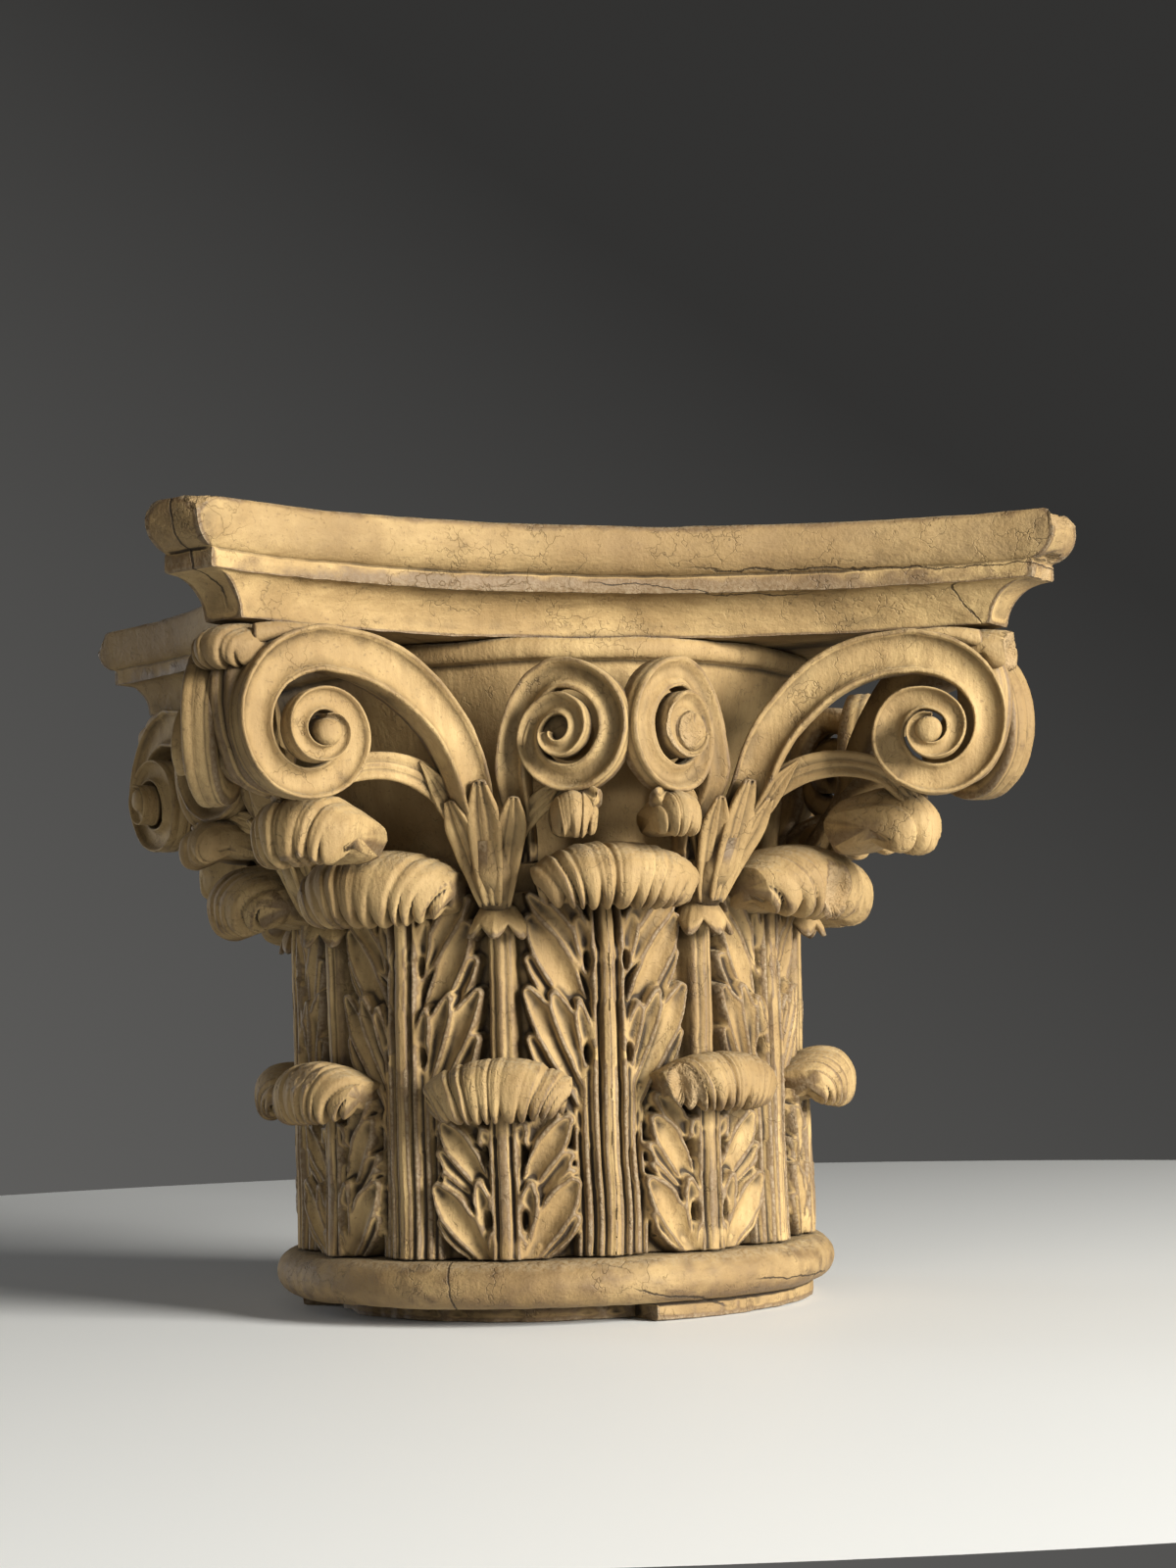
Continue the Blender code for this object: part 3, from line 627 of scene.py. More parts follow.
def drum_field(around, heights):
    """Radii of the carved drum at each height and turn."""
    columns = len(around)
    field = np.full((len(heights), columns), CORE_RADIUS)
    field += 1.4 * ease((heights - 84) / 12)[:, None]
    mm_per_degree = radians(1) * LEAF_RADIUS
    luck = np.random.RandomState(21)

    def local(turn):
        return ((around - turn + 180) % 360 - 180) * mm_per_degree

    def half_leaf(turns, side, leaflets, spread):
        for start, tip, width, rim in leaflets:
            stray = luck.uniform(-1, 1, 5)
            start = (start[0], start[1] + 0.6 * stray[0])
            tip = (tip[0] + 0.5 * stray[1], tip[1] + 0.7 * stray[2])
            path = leaflet(start, tip, width * (1.08 + 0.07 * stray[3]), spread)
            path = (path[0] * side, path[1], path[2])
            paint_leaflet(field, turns, heights, path, rim + 0.2 * stray[4])

    for index in range(LEAF_COUNT):
        turns = local(STALK_TURN + LEAF_STEP * index)
        # The stalk behind, with two flutes
        half = (STALK_HALF, STALK_HALF * 0.92)
        strip(field, turns, heights, 0, half, 40, 89, (STALK_CREST, STALK_CREST + 1), 1.6)
        for flute in (-1.25, 1.25):
            x = turns[None, :] - flute
            field -= 0.7 * np.exp(-((x / 0.42) ** 2)) * ((heights > 56) & (heights < 84))[:, None]
    for index in range(LEAF_COUNT):
        turns = local(LEAF_STEP * index)
        for side in (-1, 1):
            half_leaf(turns, side, UPPER_LEAFLETS, 1.25)
            strip(field, turns, heights, side * 5.3, (1.15, 0.8), 12, 60, (59.0, 58.4), 0.45)
            strip(field, turns, heights, side * 7.4, (0.9, 0.6), 12, 46, (58.2, 57.8), 0.45)
            strip(field, turns, heights, side * 3.1, (0.95, 0.75), 12, 94, (60.2, 60.0), 0.4)
            for across, height in UPPER_EYES:
                drill(field, turns, heights, side * across, height)
        strip(field, turns, heights, 0, (2.1, 1.7), 12, 94, (60.6, 60.6), 0.5)
        for side in (-1, 1):
            strip(field, turns, heights, side * 0.8, (0.16, 0.12), 14, 92, (59.9, 60.1), 0.0)
    for index in range(LEAF_COUNT):
        turns = local(STALK_TURN + LEAF_STEP * index)
        for side in (-1, 1):
            half_leaf(turns, side, LOWER_LEAFLETS, 1.2)
            for across, height in LOWER_EYES:
                drill(field, turns, heights, side * across, height)
            strip(field, turns, heights, side * 2.5, (0.75, 0.6), 12, 50, (60.5, 60.3), 0.4)
        strip(field, turns, heights, 0, (1.7, 1.5), 12, 50, (61.0, 60.8), 0.5)
    return field


def build_drum(look):
    parts = (
        ("carved_leaves_front_left", -90, 90, DRUM_FRONT_GRID),
        ("carved_leaves_front_right", 0, 90, DRUM_FRONT_GRID),
        ("carved_leaves_back", 90, 180, DRUM_BACK_GRID),
    )
    for name, start, span, (columns, rows) in parts:
        heights = np.linspace(BELL_LOW[2] + 0.1, DRUM_TOP, rows)
        around = np.linspace(start, start + span, columns * span // 90 + 1)
        step = around[1] - around[0]
        field = drum_field(np.concatenate([[start - step], around, [start + span + step]]), heights)
        field = (field[:, :-2] + 2 * field[:, 1:-1] + field[:, 2:]) / 4
        field[1:-1] = (field[:-2] + 2 * field[1:-1] + field[2:]) / 4
        sections = []
        for turn, radii in zip(around, field.T):
            outer = polar(turn, radii, heights)
            inner = polar(turn, DRUM_INSIDE, heights[[-1, 0]])
            sections.append(np.vstack([outer, inner]))
        piece(name, [tube(np.array(sections))], "bell", look, (0.3, 0.10), 1.5)


# The rolled tips of the leaves


def curl(turn, top, drop, face, reach, half, luck, count=8.5):
    """One rolled leaf tip, cut into fingers that droop over its front."""
    side = np.array(
        [
            (-0.30, 0.55),
            (-0.25, 0.20),
            (0.12, 0.04),
            (0.45, 0.00),
            (0.76, 0.10),
            (0.95, 0.34),
            (1.00, 0.62),
            (0.93, 0.90),
            (0.74, 1.02),
            (0.52, 0.93),
            (0.30, 0.90),
            (0.05, 0.98),
            (-0.25, 1.00),
        ]
    )
    along = np.linspace(0, 1, CURL_POINTS)
    side = through(np.linspace(0, 1, len(side)), side, along)
    across = np.linspace(-1, 1, int(21 * count))
    fingers = count + luck.uniform(-0.4, 0.4)
    drift, lean = luck.uniform(-0.5, 0.5), luck.uniform(-0.12, 0.12)
    worn_at, worn = luck.uniform(-0.8, 0.8), luck.uniform(0.2, 0.75)
    front = ease((along - 0.08) / 0.2) * ease((0.94 - along) / 0.12)
    gather = 1 - 0.34 * ease((along - 0.15) / 0.55)
    sections = []
    for place in across:
        size = 1 - 0.46 * abs(place) ** 2.6
        fold = (place - lean * (along - 0.2)) / gather
        uneven = 0.20 * np.sin(5 * fold + drift * 9) + 0.10 * np.sin(11 * fold + drift * 5)
        phase = (fold * fingers / 2 + drift + uneven) % 1.0
        tongue = 1 - np.abs(2 * phase - 1) ** 2.2
        keep = 1 - worn * np.exp(-(((place - worn_at) / 0.3) ** 2))
        keep = keep * (0.62 + 0.38 * np.sin(9 * fold + drift * 7))
        cut = (0.15 + 1.05 * (1 - tongue) ** 1.3) * front * keep
        cut += 0.30 * np.exp(-(((phase - 0.34) / 0.08) ** 2)) * front * keep
        cut -= 0.26 * np.exp(-(((phase - 0.68) / 0.07) ** 2)) * front * keep
        tips = 0.17 * (tongue - 0.45) * ease((along - 0.45) / 0.15) * ease((0.85 - along) / 0.1)
        out = 0.28 + (side[:, 0] - 0.28) * np.where(side[:, 0] > 0.28, size, 1)
        down = 0.55 + (side[:, 1] - 0.55) * size + tips
        low = 0.10 * place**2
        radius = face + out * (reach - face)
        height = top - (down + low) * drop
        centre_out, centre_high = face + 0.4 * (reach - face), top - 0.55 * drop
        span = np.hypot(radius - centre_out, height - centre_high)
        shrink = 1 - cut / np.maximum(span, 1.0)
        radius = centre_out + (radius - centre_out) * shrink
        height = centre_high + (height - centre_high) * shrink
        narrow = 1 - 0.14 * ease((along - 0.35) / 0.35)
        bearing = turn + np.degrees(place * half * narrow / (face + 6))
        sections.append(polar(bearing, radius, height))
    return tube(np.array(sections))


# Where rolled tips are knocked or worn flat
UPPER_TIP_BREAKS = (
    ((-57.0, -56.0, 99.5), (-0.5, -0.4, 1.0), 7.0),
    ((-44.0, -66.0, 91.0), (0.3, -1.0, -0.3), 6.0),
    ((52.0, -56.0, 92.0), (0.6, -0.8, -0.4), 6.0),
)
LOWER_TIP_BREAKS = (
    ((17.0, -66.0, 51.0), (-0.7, -0.9, -0.1), 6.0),
    ((-62.0, -30.0, 54.5), (-0.8, -0.4, 0.8), 6.0),
)


def build_curls(look):
    luck = np.random.RandomState(5)
    # The leaf at the front and the lower leaf on its right are a little smaller than the others
    upper = [
        curl(LEAF_STEP * k, 102.6, 15.5 if k else 13.6, 58.5, 79.8, 18.4 if k else 16.8, luck)
        for k in range(LEAF_COUNT)
    ]
    lower = [
        curl(STALK_TURN + LEAF_STEP * k, 57.2, 12.6 if k else 11.8, 58.5, 71.4, 16.0 if k else 15.0, luck)
        for k in range(LEAF_COUNT)
    ]
    piece("upper_leaf_tips", upper, "bell", look, breaks=UPPER_TIP_BREAKS, rubbed=0.22)
    piece("lower_leaf_tips", lower, "bell", look, breaks=LOWER_TIP_BREAKS, rubbed=0.22)


# Scrolls: ribbons with raised rims that wind inwards and outwards at once

# Places are (along, above) in mm from the scroll's centre in its own upright plane
VOLUTE_CENTRE = (65.7, -84.8, 123.6)
VOLUTE_ALONG = (0.928, -0.372)
VOLUTE_OUTER = (
    (-40.6, -24.0), (-41.6, -9.0), (-38.6, 0.8), (-34.0, 8.0), (-28.4, 14.0), (-22.2, 18.4),
    (-15.2, 21.2), (-7.8, 22.3),
)
VOLUTE_INNER = (
    (-35.4, -24.0), (-33.8, -11.0), (-30.6, -3.4), (-26.6, 2.2), (-21.4, 6.9), (-15.8, 10.2),
    (-10.0, 12.2), (-4.6, 12.9),
)
VOLUTE_WINDS = (22.2, 16.8, 13.0, 12.0, 9.8, 8.2, 6.0, 4.7, 3.7)
VOLUTE_WIDTHS = (9.4, 7.2, 6.4, 6.8, 5.2, 4.4, 3.3, 2.9, 2.6)
VOLUTE_RISES = (0.0, 0.2, 0.7, 2.0, 3.6, 4.9, 6.0, 6.8, 7.3)
VOLUTE_PROFILE = (
    (-1.00, 0.1), (-0.96, 0.9), (-0.88, 1.15), (-0.79, 0.9), (-0.71, -0.1), (-0.50, -0.8), (-0.18, -1.15),
    (0.18, -1.15), (0.50, -0.8), (0.71, -0.1), (0.79, 0.9), (0.88, 1.15), (0.96, 0.9), (1.00, 0.1),
    (0.98, -0.9), (0.90, -1.6), (0.99, -2.3), (1.00, -4.0), (0.90, -4.8), (0.98, -5.6), (0.90, -6.8),
    (0.00, -7.0), (-0.90, -6.8), (-1.00, -4.0),
)
SCROLL_CENTRE = (12.8, -78.2, 124.6)
SCROLL_ALONG = (-0.839, -0.545)
SCROLL_OUTER = ((-13.2, -26.0), (-15.4, -11.0), (-15.2, -3.6), (-13.6, 4.0), (-10.8, 10.2), (-6.2, 14.7))
SCROLL_INNER = ((-9.0, -26.0), (-8.8, -12.0), (-8.3, -3.8), (-7.3, 1.4), (-5.6, 5.6), (-3.2, 8.4))
SCROLL_WINDS = (16.2, 14.8, 12.6, 9.8, 8.6, 6.9, 5.4, 3.7)
SCROLL_WIDTHS = (6.6, 6.4, 6.0, 5.2, 4.9, 4.2, 3.5, 2.6)
SCROLL_RISES = (0.0, 0.1, 0.3, 1.0, 2.2, 3.2, 3.9, 4.3)
SCROLL_PROFILE = (
    (-1.00, 0.2), (-0.94, 0.85), (-0.80, 0.9), (-0.62, 0.2), (-0.35, -0.8), (0.0, -1.1), (0.35, -0.8),
    (0.62, 0.2), (0.78, 1.0), (0.92, 0.95), (1.00, 0.2), (0.94, -0.7), (1.0, -1.5), (0.98, -4.4),
    (0.4, -5.5), (-0.4, -5.5), (-0.98, -4.4), (-1.0, -1.5),
)


def plane_of(along):
    """The level way along a scroll's plane, and the way that its face looks."""
    along = np.array([along[0], along[1], 0.0])
    facing = np.array([along[1], -along[0], 0.0])
    return along, facing if facing[1] < 0 else -facing


def scroll(centre, along, outer, inner, winds, widths, rises, profile, turns, lean):
    """One ribbon from its foot, over the top and round to its eye, in the plane through its centre."""
    along, facing = plane_of(along)
    up = np.array([0, 0, 1.0])
    quarters = np.linspace(0, turns * 4, int(turns * 44))
    places = np.arange(len(winds))
    wound = np.minimum(quarters, len(winds) - 1)
    far = through(places, winds, wound)
    near = far - through(places, widths, wound)
    angle = pi / 2 - quarters * pi / 2
    ring = np.stack([np.cos(angle), np.sin(angle)], -1)
    spiral = (ring * far[:, None], ring * near[:, None])
    # The lead-in passes smoothly into the spiral's first steps
    lead = np.arange(len(outer) + 2.0)
    steps = np.linspace(0, len(outer), 40)[:-1]
    ahead = 5
    edges = [
        np.vstack([through(lead, [*given, wind[0], wind[ahead]], steps), wind])
        for given, wind in zip((outer, inner), spiral)
    ]
    rise = np.concatenate([np.zeros(len(steps)), through(places, rises, wound)])
    middle = (edges[0] + edges[1]) / 2
    gap = edges[0] - edges[1]
    half = np.linalg.norm(gap, axis=1) / 2
    gap = gap / (2 * half[:, None])
    path = np.array(centre) + along * middle[:, :1] + facing * rise[:, None] + up * middle[:, 1:]
    inward = lean * ease((-6 - middle[:, 1]) / 18) * (middle[:, 0] < -5)
    path -= polar(STALK_TURN, 1.0, 0.0) * inward[:, None]
    side = along * gap[:, :1] + up * gap[:, 1:]
    out = np.broadcast_to(facing, path.shape)
    small = np.clip(half / half[: len(steps)].max(), 0.45, 1)
    return sweep(path, side, out, profile, half, small**0.6)


def knob(centre, along, radius, rise):
    """The button at a scroll's eye."""
    along, facing = plane_of(along)
    sections = []
    for level, size in ((-4.0, 1.05), (0.0, 1.0), (0.7, 0.93), (1.2, 0.78), (1.5, 0.5), (1.6, 0.15)):
        angle = np.linspace(0, tau, 28, endpoint=False)
        ring = along * np.cos(angle)[:, None] + np.array([0, 0, 1.0]) * np.sin(angle)[:, None]
        sections.append(np.array(centre) + facing * (rise + level) + ring * radius * size)
    return tube(np.array(sections))


# The inner scroll right of the middle has lost its eye
SCROLL_BREAKS = (((12.0, -82.6, 124.0), (0.35, -1.0, 0.0), 7.5),)


def build_scrolls(look):
    volute = scroll(
        VOLUTE_CENTRE, VOLUTE_ALONG, VOLUTE_OUTER, VOLUTE_INNER, VOLUTE_WINDS, VOLUTE_WIDTHS,
        VOLUTE_RISES, VOLUTE_PROFILE, 2.05, 11.0,
    )
    eye = knob(VOLUTE_CENTRE, VOLUTE_ALONG, 2.9, 6.4)
    piece("corner_volutes", repeat([volute, eye]), "bell", look, rubbed=0.16)
    helix = scroll(
        SCROLL_CENTRE, SCROLL_ALONG, SCROLL_OUTER, SCROLL_INNER, SCROLL_WINDS, SCROLL_WIDTHS,
        SCROLL_RISES, SCROLL_PROFILE, 1.75, 10.0,
    )
    post = knob(SCROLL_CENTRE, SCROLL_ALONG, 5.2, -1.2)
    stub = knob(SCROLL_CENTRE, SCROLL_ALONG, 4.2, 3.2)
    piece(
        "inner_scrolls", repeat([helix, post]) + [stub], "bell", look,
        breaks=SCROLL_BREAKS, rubbed=0.2,
    )


# Leaves and buds round the scrolls

PETAL_CREASE = 0.3


def petal(path, half, bearing, hollow=0.9, thick=2.2, steps=26):
    """A pointed leaf along a path of (turn, radius, height): hollow in front, rounded behind."""
    share = np.linspace(0, 1, steps)
    path = np.asarray(path, float)
    read = through(np.linspace(0, 1, len(path)), path, share)
    half = through(np.linspace(0, 1, len(half)), half, share)
    points = polar(read[:, 0], read[:, 1], read[:, 2])
    along = heading(points)
    out = np.broadcast_to(polar(bearing, 1.0, 0.0), points.shape)
    side = np.cross(along, out)
    side /= np.linalg.norm(side, axis=1)[:, None]
    out = np.cross(side, along)
    profile = [(-1.0, -0.5), (-0.92, 0.0), (-0.74, 0.15), (-0.5, -0.25 * hollow), (-0.26, -0.6 * hollow)]
    profile += [(-0.09, -0.5 * hollow + PETAL_CREASE), (0.09, -0.5 * hollow + PETAL_CREASE)]
    profile += [(0.26, -0.6 * hollow), (0.5, -0.25 * hollow), (0.74, 0.15), (0.92, 0.0), (1.0, -0.5)]
    profile += [(0.75, -0.6 * thick), (0.0, -thick), (-0.75, -0.6 * thick)]
    return sweep(points, side, out, profile, np.maximum(half, 0.12), np.clip(half / half.max() + 0.25, 0, 1))


# From the middle of the top, out over the lobes and back underneath: (reach, height)
COLLAR_PROFILE = (
    (0.0, 0.4), (2.9, 0.4), (4.0, -0.6), (5.3, -2.6), (6.4, -5.2), (6.9, -7.2), (6.2, -7.6), (4.6, -5.6),
    (3.0, -4.0), (0.0, -4.0),
)


def collar(turn, axis, top):
    """The drooping leaves round the top of a stalk."""
    around = np.linspace(0, 360, 120, endpoint=False)
    profile = np.array(COLLAR_PROFILE)
    lobes = 6
    sections = []
    for angle in around:
        wave = cos(radians(angle) * lobes)
        lobe = max(0.0, 0.5 + 0.5 * wave) ** 0.55
        ridge = 0.35 * np.exp(-((((angle * lobes / 360) + 0.5) % 1 - 0.5) / 0.07) ** 2)
        fall = np.clip((-profile[:, 1] - 0.5) / 6.0, 0, 1)
        reach = profile[:, 0] * (1 - 0.12 * fall * (1 - lobe)) + ridge * fall
        height = profile[:, 1] * (1 - 0.42 * fall * (1 - lobe))
        base = polar(turn, axis, top)
        place = radians(turn + angle)
        sections.append(base + np.stack([reach * sin(place), -reach * cos(place), height], -1))
    return tube(np.array(sections), closed=True)


def build_calyxes(look):
    parts = [collar(STALK_TURN, 58.8, 90.0)]
    cup = [(22.5, 60.5, 88.5), (22.5, 61.8, 91.0), (22.5, 64.4, 96.0), (22.5, 68.0, 103.0)]
    centre = np.array([polar(*place) for place in cup])
    angle = np.linspace(0, tau, 24, endpoint=False)
    sideways, forward = polar(STALK_TURN + 90, 1.0, 0.0), polar(STALK_TURN, 1.0, 0.0)
    rings = [
        middle + sideways * (width * np.cos(angle))[:, None] + forward * (width * np.sin(angle))[:, None]
        for middle, width in zip(centre, (2.8, 3.6, 4.8, 4.0))
    ]
    parts.append(tube(np.array(rings)))
    # Two side leaves, then the one in front
    for side in (-1, 1):
        parts.append(
            petal(
                [
                    (22.5 + side * 1.6, 63.5, 89.5),
                    (22.5 + side * 2.9, 67.5, 97.0),
                    (22.5 + side * 4.3, 72.0, 104.5),
                    (22.5 + side * 5.2, 76.4, 111.2),
                ],
                (1.8, 2.7, 3.3, 3.3, 1.2),
                22.5 + side * 14,
                1.1,
            )
        )
    parts.append(
        petal(
            [(22.5, 65.4, 89.6), (22.5, 69.2, 97.0), (22.5, 73.4, 106.0), (22.5, 78.0, 114.8)],
            (2.0, 3.0, 3.6, 3.7, 1.5),
            22.5,
            1.0,
            2.8,
        )
    )
    piece("stalk_collars_and_cups", repeat(parts), "bell", look, (0.35, 0.1), 0.8)


# The corner leaf at the front right has lost its outer lobes, and the front left one a little
CORNER_LEAF_BREAKS = (
    ((72.5, -66.0, 103.0), (0.8, 0.3, -0.6), 9.0),
    ((-66.0, -69.5, 97.8), (-0.3, -0.4, -0.9), 5.0),
)
# The long leaves from a cup to the corner and to the middle of the side, as (turn, radius, height)
CORNER_ARM = (
    (23.5, 61.5, 91.0), (25.5, 67.0, 103.0), (29.0, 75.0, 113.5), (34.0, 84.5, 118.5), (39.5, 93.0, 117.0),
    (43.0, 98.0, 110.0),
)
CORNER_ARM_LEAF = ((24.5, 64.5, 94.0), (26.0, 69.5, 104.0), (28.5, 75.5, 112.5), (31.0, 81.0, 119.5))
MIDDLE_ARM = (
    (21.0, 62.0, 91.0), (18.5, 66.0, 102.0), (13.5, 72.5, 110.0), (8.5, 78.5, 112.6), (5.0, 82.5, 110.0),
)
MIDDLE_ARM_LEAF = ((19.0, 65.5, 98.0), (16.0, 69.5, 106.5), (12.5, 74.0, 111.6), (9.5, 78.5, 113.6))


def build_arms(look):
    """The long leaves that run from each cup to the corner and to the middle of the side."""
    to_corner = [
        petal(CORNER_ARM, (1.6, 2.6, 3.0, 3.0, 2.8, 2.0), 10, 0.8, 4.0, 44),
        petal(CORNER_ARM_LEAF, (1.4, 2.4, 2.7, 0.2), 10, 0.8, 2.6, 34),
    ]
    to_middle = [
        petal(MIDDLE_ARM, (1.4, 2.0, 2.4, 2.6, 2.6), 18, 0.6, 3.4, 40),
        petal(MIDDLE_ARM_LEAF, (1.2, 1.9, 2.1, 0.2), 18, 0.6, 2.2, 30),
    ]
    piece("side_leaf_arms", repeat(to_corner + to_middle), "bell", look, (0.35, 0.1), 0.8)
    luck = np.random.RandomState(11)
    knuckle = [curl(8.0, 112.6, 9.4, 73.0, 86.0, 5.0, luck, 3.5)]
    piece("middle_leaf_tips", repeat(knuckle), "bell", look, (0.3, 0.1), 0.8, rubbed=0.35)
    # The tip at the front right is the narrowest
    tips = [curl(45, 113.4, 14.0, 84.0, 102.0, 8.6, luck, 3.6)]
    tips += [curl(45 + 90 * quarter, 113.4, 14.4, 84.0, 102.0, 12.0, luck, 5.0) for quarter in (1, 2, 3)]
    piece(
        "corner_leaf_tips", tips, "bell", look, (0.8, 0.15), 1.0,
        CORNER_LEAF_BREAKS, rubbed=0.2,
    )


BUD_BREAKS = (((84.5, -84.0, 141.5), (0.9, -0.6, -0.5), 6.5),)
# Across the web, in shares of its half width, and outwards in mm
WEB_PROFILE = (
    (-1.0, -9.0), (-1.0, -2.6), (-0.92, -1.5), (-0.80, -1.2), (-0.68, -1.6), (-0.60, -2.6), (-0.52, -1.2),
    (-0.40, -0.1), (-0.26, 0.1), (-0.12, -0.2), (0.0, -1.8), (0.12, -0.2), (0.26, 0.1), (0.40, -0.1),
    (0.52, -1.2), (0.60, -2.6), (0.68, -1.6), (0.80, -1.2), (0.92, -1.5), (1.0, -2.6), (1.0, -9.0),
)
WEB_PATH = (
    (45, 103.0, 111.5), (45, 112.5, 114.5), (45, 117.5, 121.0), (45, 119.5, 129.0), (45, 118.8, 137.0),
    (45, 115.0, 143.5), (45, 108.0, 146.4),
)
WEB_HALF = (4.5, 6.0, 7.0, 6.6, 5.5)


def along_under_board():
    """The path, side and front of the strand from a bud to the top of a volute."""
    share = np.linspace(0, 1, 20)[:, None]
    start = polar(42, 116.0, 143.6)
    bend, end = np.array([72.0, -86.0, 145.2]), np.array([64.0, -83.0, 145.4])
    path = start * (1 - share) ** 2 + 2 * bend * share * (1 - share) + end * share**2
    up = np.broadcast_to(np.array([0, 0, 1.0]), path.shape)
    return path, up, np.cross(heading(path), up)


def build_corners(look):
    """The grooved web between two volutes and the bud under each horn."""
    share = np.linspace(0, 1, 50)
    path = np.array(WEB_PATH)
    read = through(np.linspace(0, 1, len(path)), path, share)
    points = polar(read[:, 0], read[:, 1], read[:, 2])
    along = heading(points)
    side = np.broadcast_to(polar(135, 1.0, 0.0), points.shape)
    out = np.cross(along, side)
    out *= np.sign(out @ polar(45, 1.0, 0.0))[:, None]
    half = through(np.linspace(0, 1, len(WEB_HALF)), WEB_HALF, share)
    web = [sweep(points, side, out, WEB_PROFILE, half)]
    piece("corner_webs", repeat(web, mirrored=False), "bell", look)
    bud = [curl(45, 146.6, 8.6, 106.0, 124.0, 7.4, np.random.RandomState(3), 3.3)]
    strand = sweep(
        *along_under_board(),
        [(cos(t), sin(t)) for t in np.linspace(0, tau, 14, endpoint=False)],
        np.linspace(2.2, 0.9, 20), np.linspace(2.0, 0.9, 20),
    )
    piece(
        "corner_buds", repeat(bud, mirrored=False) + repeat([strand]), "bell", look,
        (0.5, 0.12), 1.0, BUD_BREAKS, rubbed=0.45,
    )


# Core above the drum


def turned(profile, columns):
    """A solid of revolution from (radius, height) points, from the axis to the axis."""
    around = np.linspace(0, 360, columns, endpoint=False)
    profile = np.asarray(profile, float)
    sections = np.array([polar(turn, profile[:, 0], profile[:, 1]) for turn in around])
    return tube(sections, closed=True)


def build_throat(look):
    top = BELL_HIGH[2]
    lip = top - LIP_HEIGHT
    places = [(54.6, 88), (55.0, 100), (56.5, 112), (58.6, 124), (61.2, 135), (63.0, lip - 0.4)]
    heights = np.linspace(88, lip - 0.4, THROAT_ROWS)
    radii = through([p[1] for p in places], [p[0] for p in places], heights)
    profile = list(zip(radii, heights))
    for step in range(13):
        angle = -pi / 2 + pi * step / 12
        profile.append((LIP_RADIUS - 1.6 + 1.6 * cos(angle), (top + lip) / 2 + LIP_HEIGHT / 2 * sin(angle)))
    profile += [(40, top), (40, 88)]
    piece("bell_throat", [turned(profile, THROAT_COLUMNS)], "bell", look, rubbed=0.15)


# Ring and abacus


FOOT_LOSS = (-106.0, 8.8)
RING_CRACKS = (
    ((-35.0, -54.0, 9.0), (0.85, -0.4, 0.1), 9.0, 0.30),
    ((15.0, -61.0, 5.0), (0.25, 0.0, 1.0), 14.0, 0.30),
    ((45.0, -45.0, 7.0), (0.05, 0.0, 1.0), 18.0, 0.22),
)


def build_ring(look):
    """A bead over a low foot, which has broken away along the front left."""
    low, high = RING_LOW[2], RING_HIGH[2]
    reach = RING_HIGH[0]
    bead = 5.0
    middle = low + 4.0 + bead
    top = [(30, high), (58.0, high)]
    for step in range(25):
        angle = pi / 2 - pi * step / 24
        top.append((reach - bead + bead * cos(angle), middle + bead * sin(angle)))
    foot = [(59.6, low + 3.6), (60.0, low + 3.0), (60.0, low + 1.5), (59.8, low + 0.3), (59.0, low)]
    foot.append((30, low))
    profile = np.array(top + foot, float)
    first = len(top)
    around = np.linspace(0, 360, RING_COLUMNS, endpoint=False)
    luck = noise(polar(around, 60.0, 0.0), 4.0)
    sections = []
    for turn, stray in zip(around, luck):
        place = (turn + 180) % 360 - 180
        inside = min(place - FOOT_LOSS[0], FOOT_LOSS[1] - place) + 0.7 * stray
        lost = float(ease(inside / 0.8))
        section = profile.copy()
        section[first : first + 5, 0] -= lost * (10.5 + 1.2 * stray)
        section[first : first + 5, 0] -= (1 - lost) * 0.5 * abs(stray)
        sections.append(polar(turn, section[:, 0], section[:, 1]))
    piece(
        "turned_ring", [tube(np.array(sections), closed=True)], "neck_ring", look,
        (0.3, 0.12), 3.0, sharp=50, rubbed=0.45,
    )


# Half of a side between its horns, how far the horns reach, and how far the middle of a side does
ABACUS_HALF_SIDE = 90.0
ABACUS_REACH = 99.3
ABACUS_MIDDLE = 72.3
ABACUS_STEPS = 190


def abacus_plan(inset, steps):
    """One level of the abacus: four concave sides and four cut horns."""
    half, reach = ABACUS_HALF_SIDE - inset * 0.8, ABACUS_REACH - inset
    middle = ABACUS_MIDDLE - inset
    bow = reach - middle
    radius = (half * half + bow * bow) / (2 * bow)
    widest = atan2(half, radius - bow)
    angles = np.linspace(-widest, widest, steps)
    side = np.stack([radius * np.sin(angles), -middle - radius * (1 - np.cos(angles))], -1)
    loop = []
    for quarter in range(SIDES):
        angle = quarter * pi / 2
        spin = np.array([[cos(angle), -sin(angle)], [sin(angle), cos(angle)]])
        turned_side = side @ spin.T
        after = side[0] @ (spin @ np.array([[0, -1], [1, 0]])).T
        cut = turned_side[-1] + (after - turned_side[-1]) * np.linspace(0, 1, 9)[1:-1, None]
        loop += [turned_side, cut]
    return np.vstack(loop)


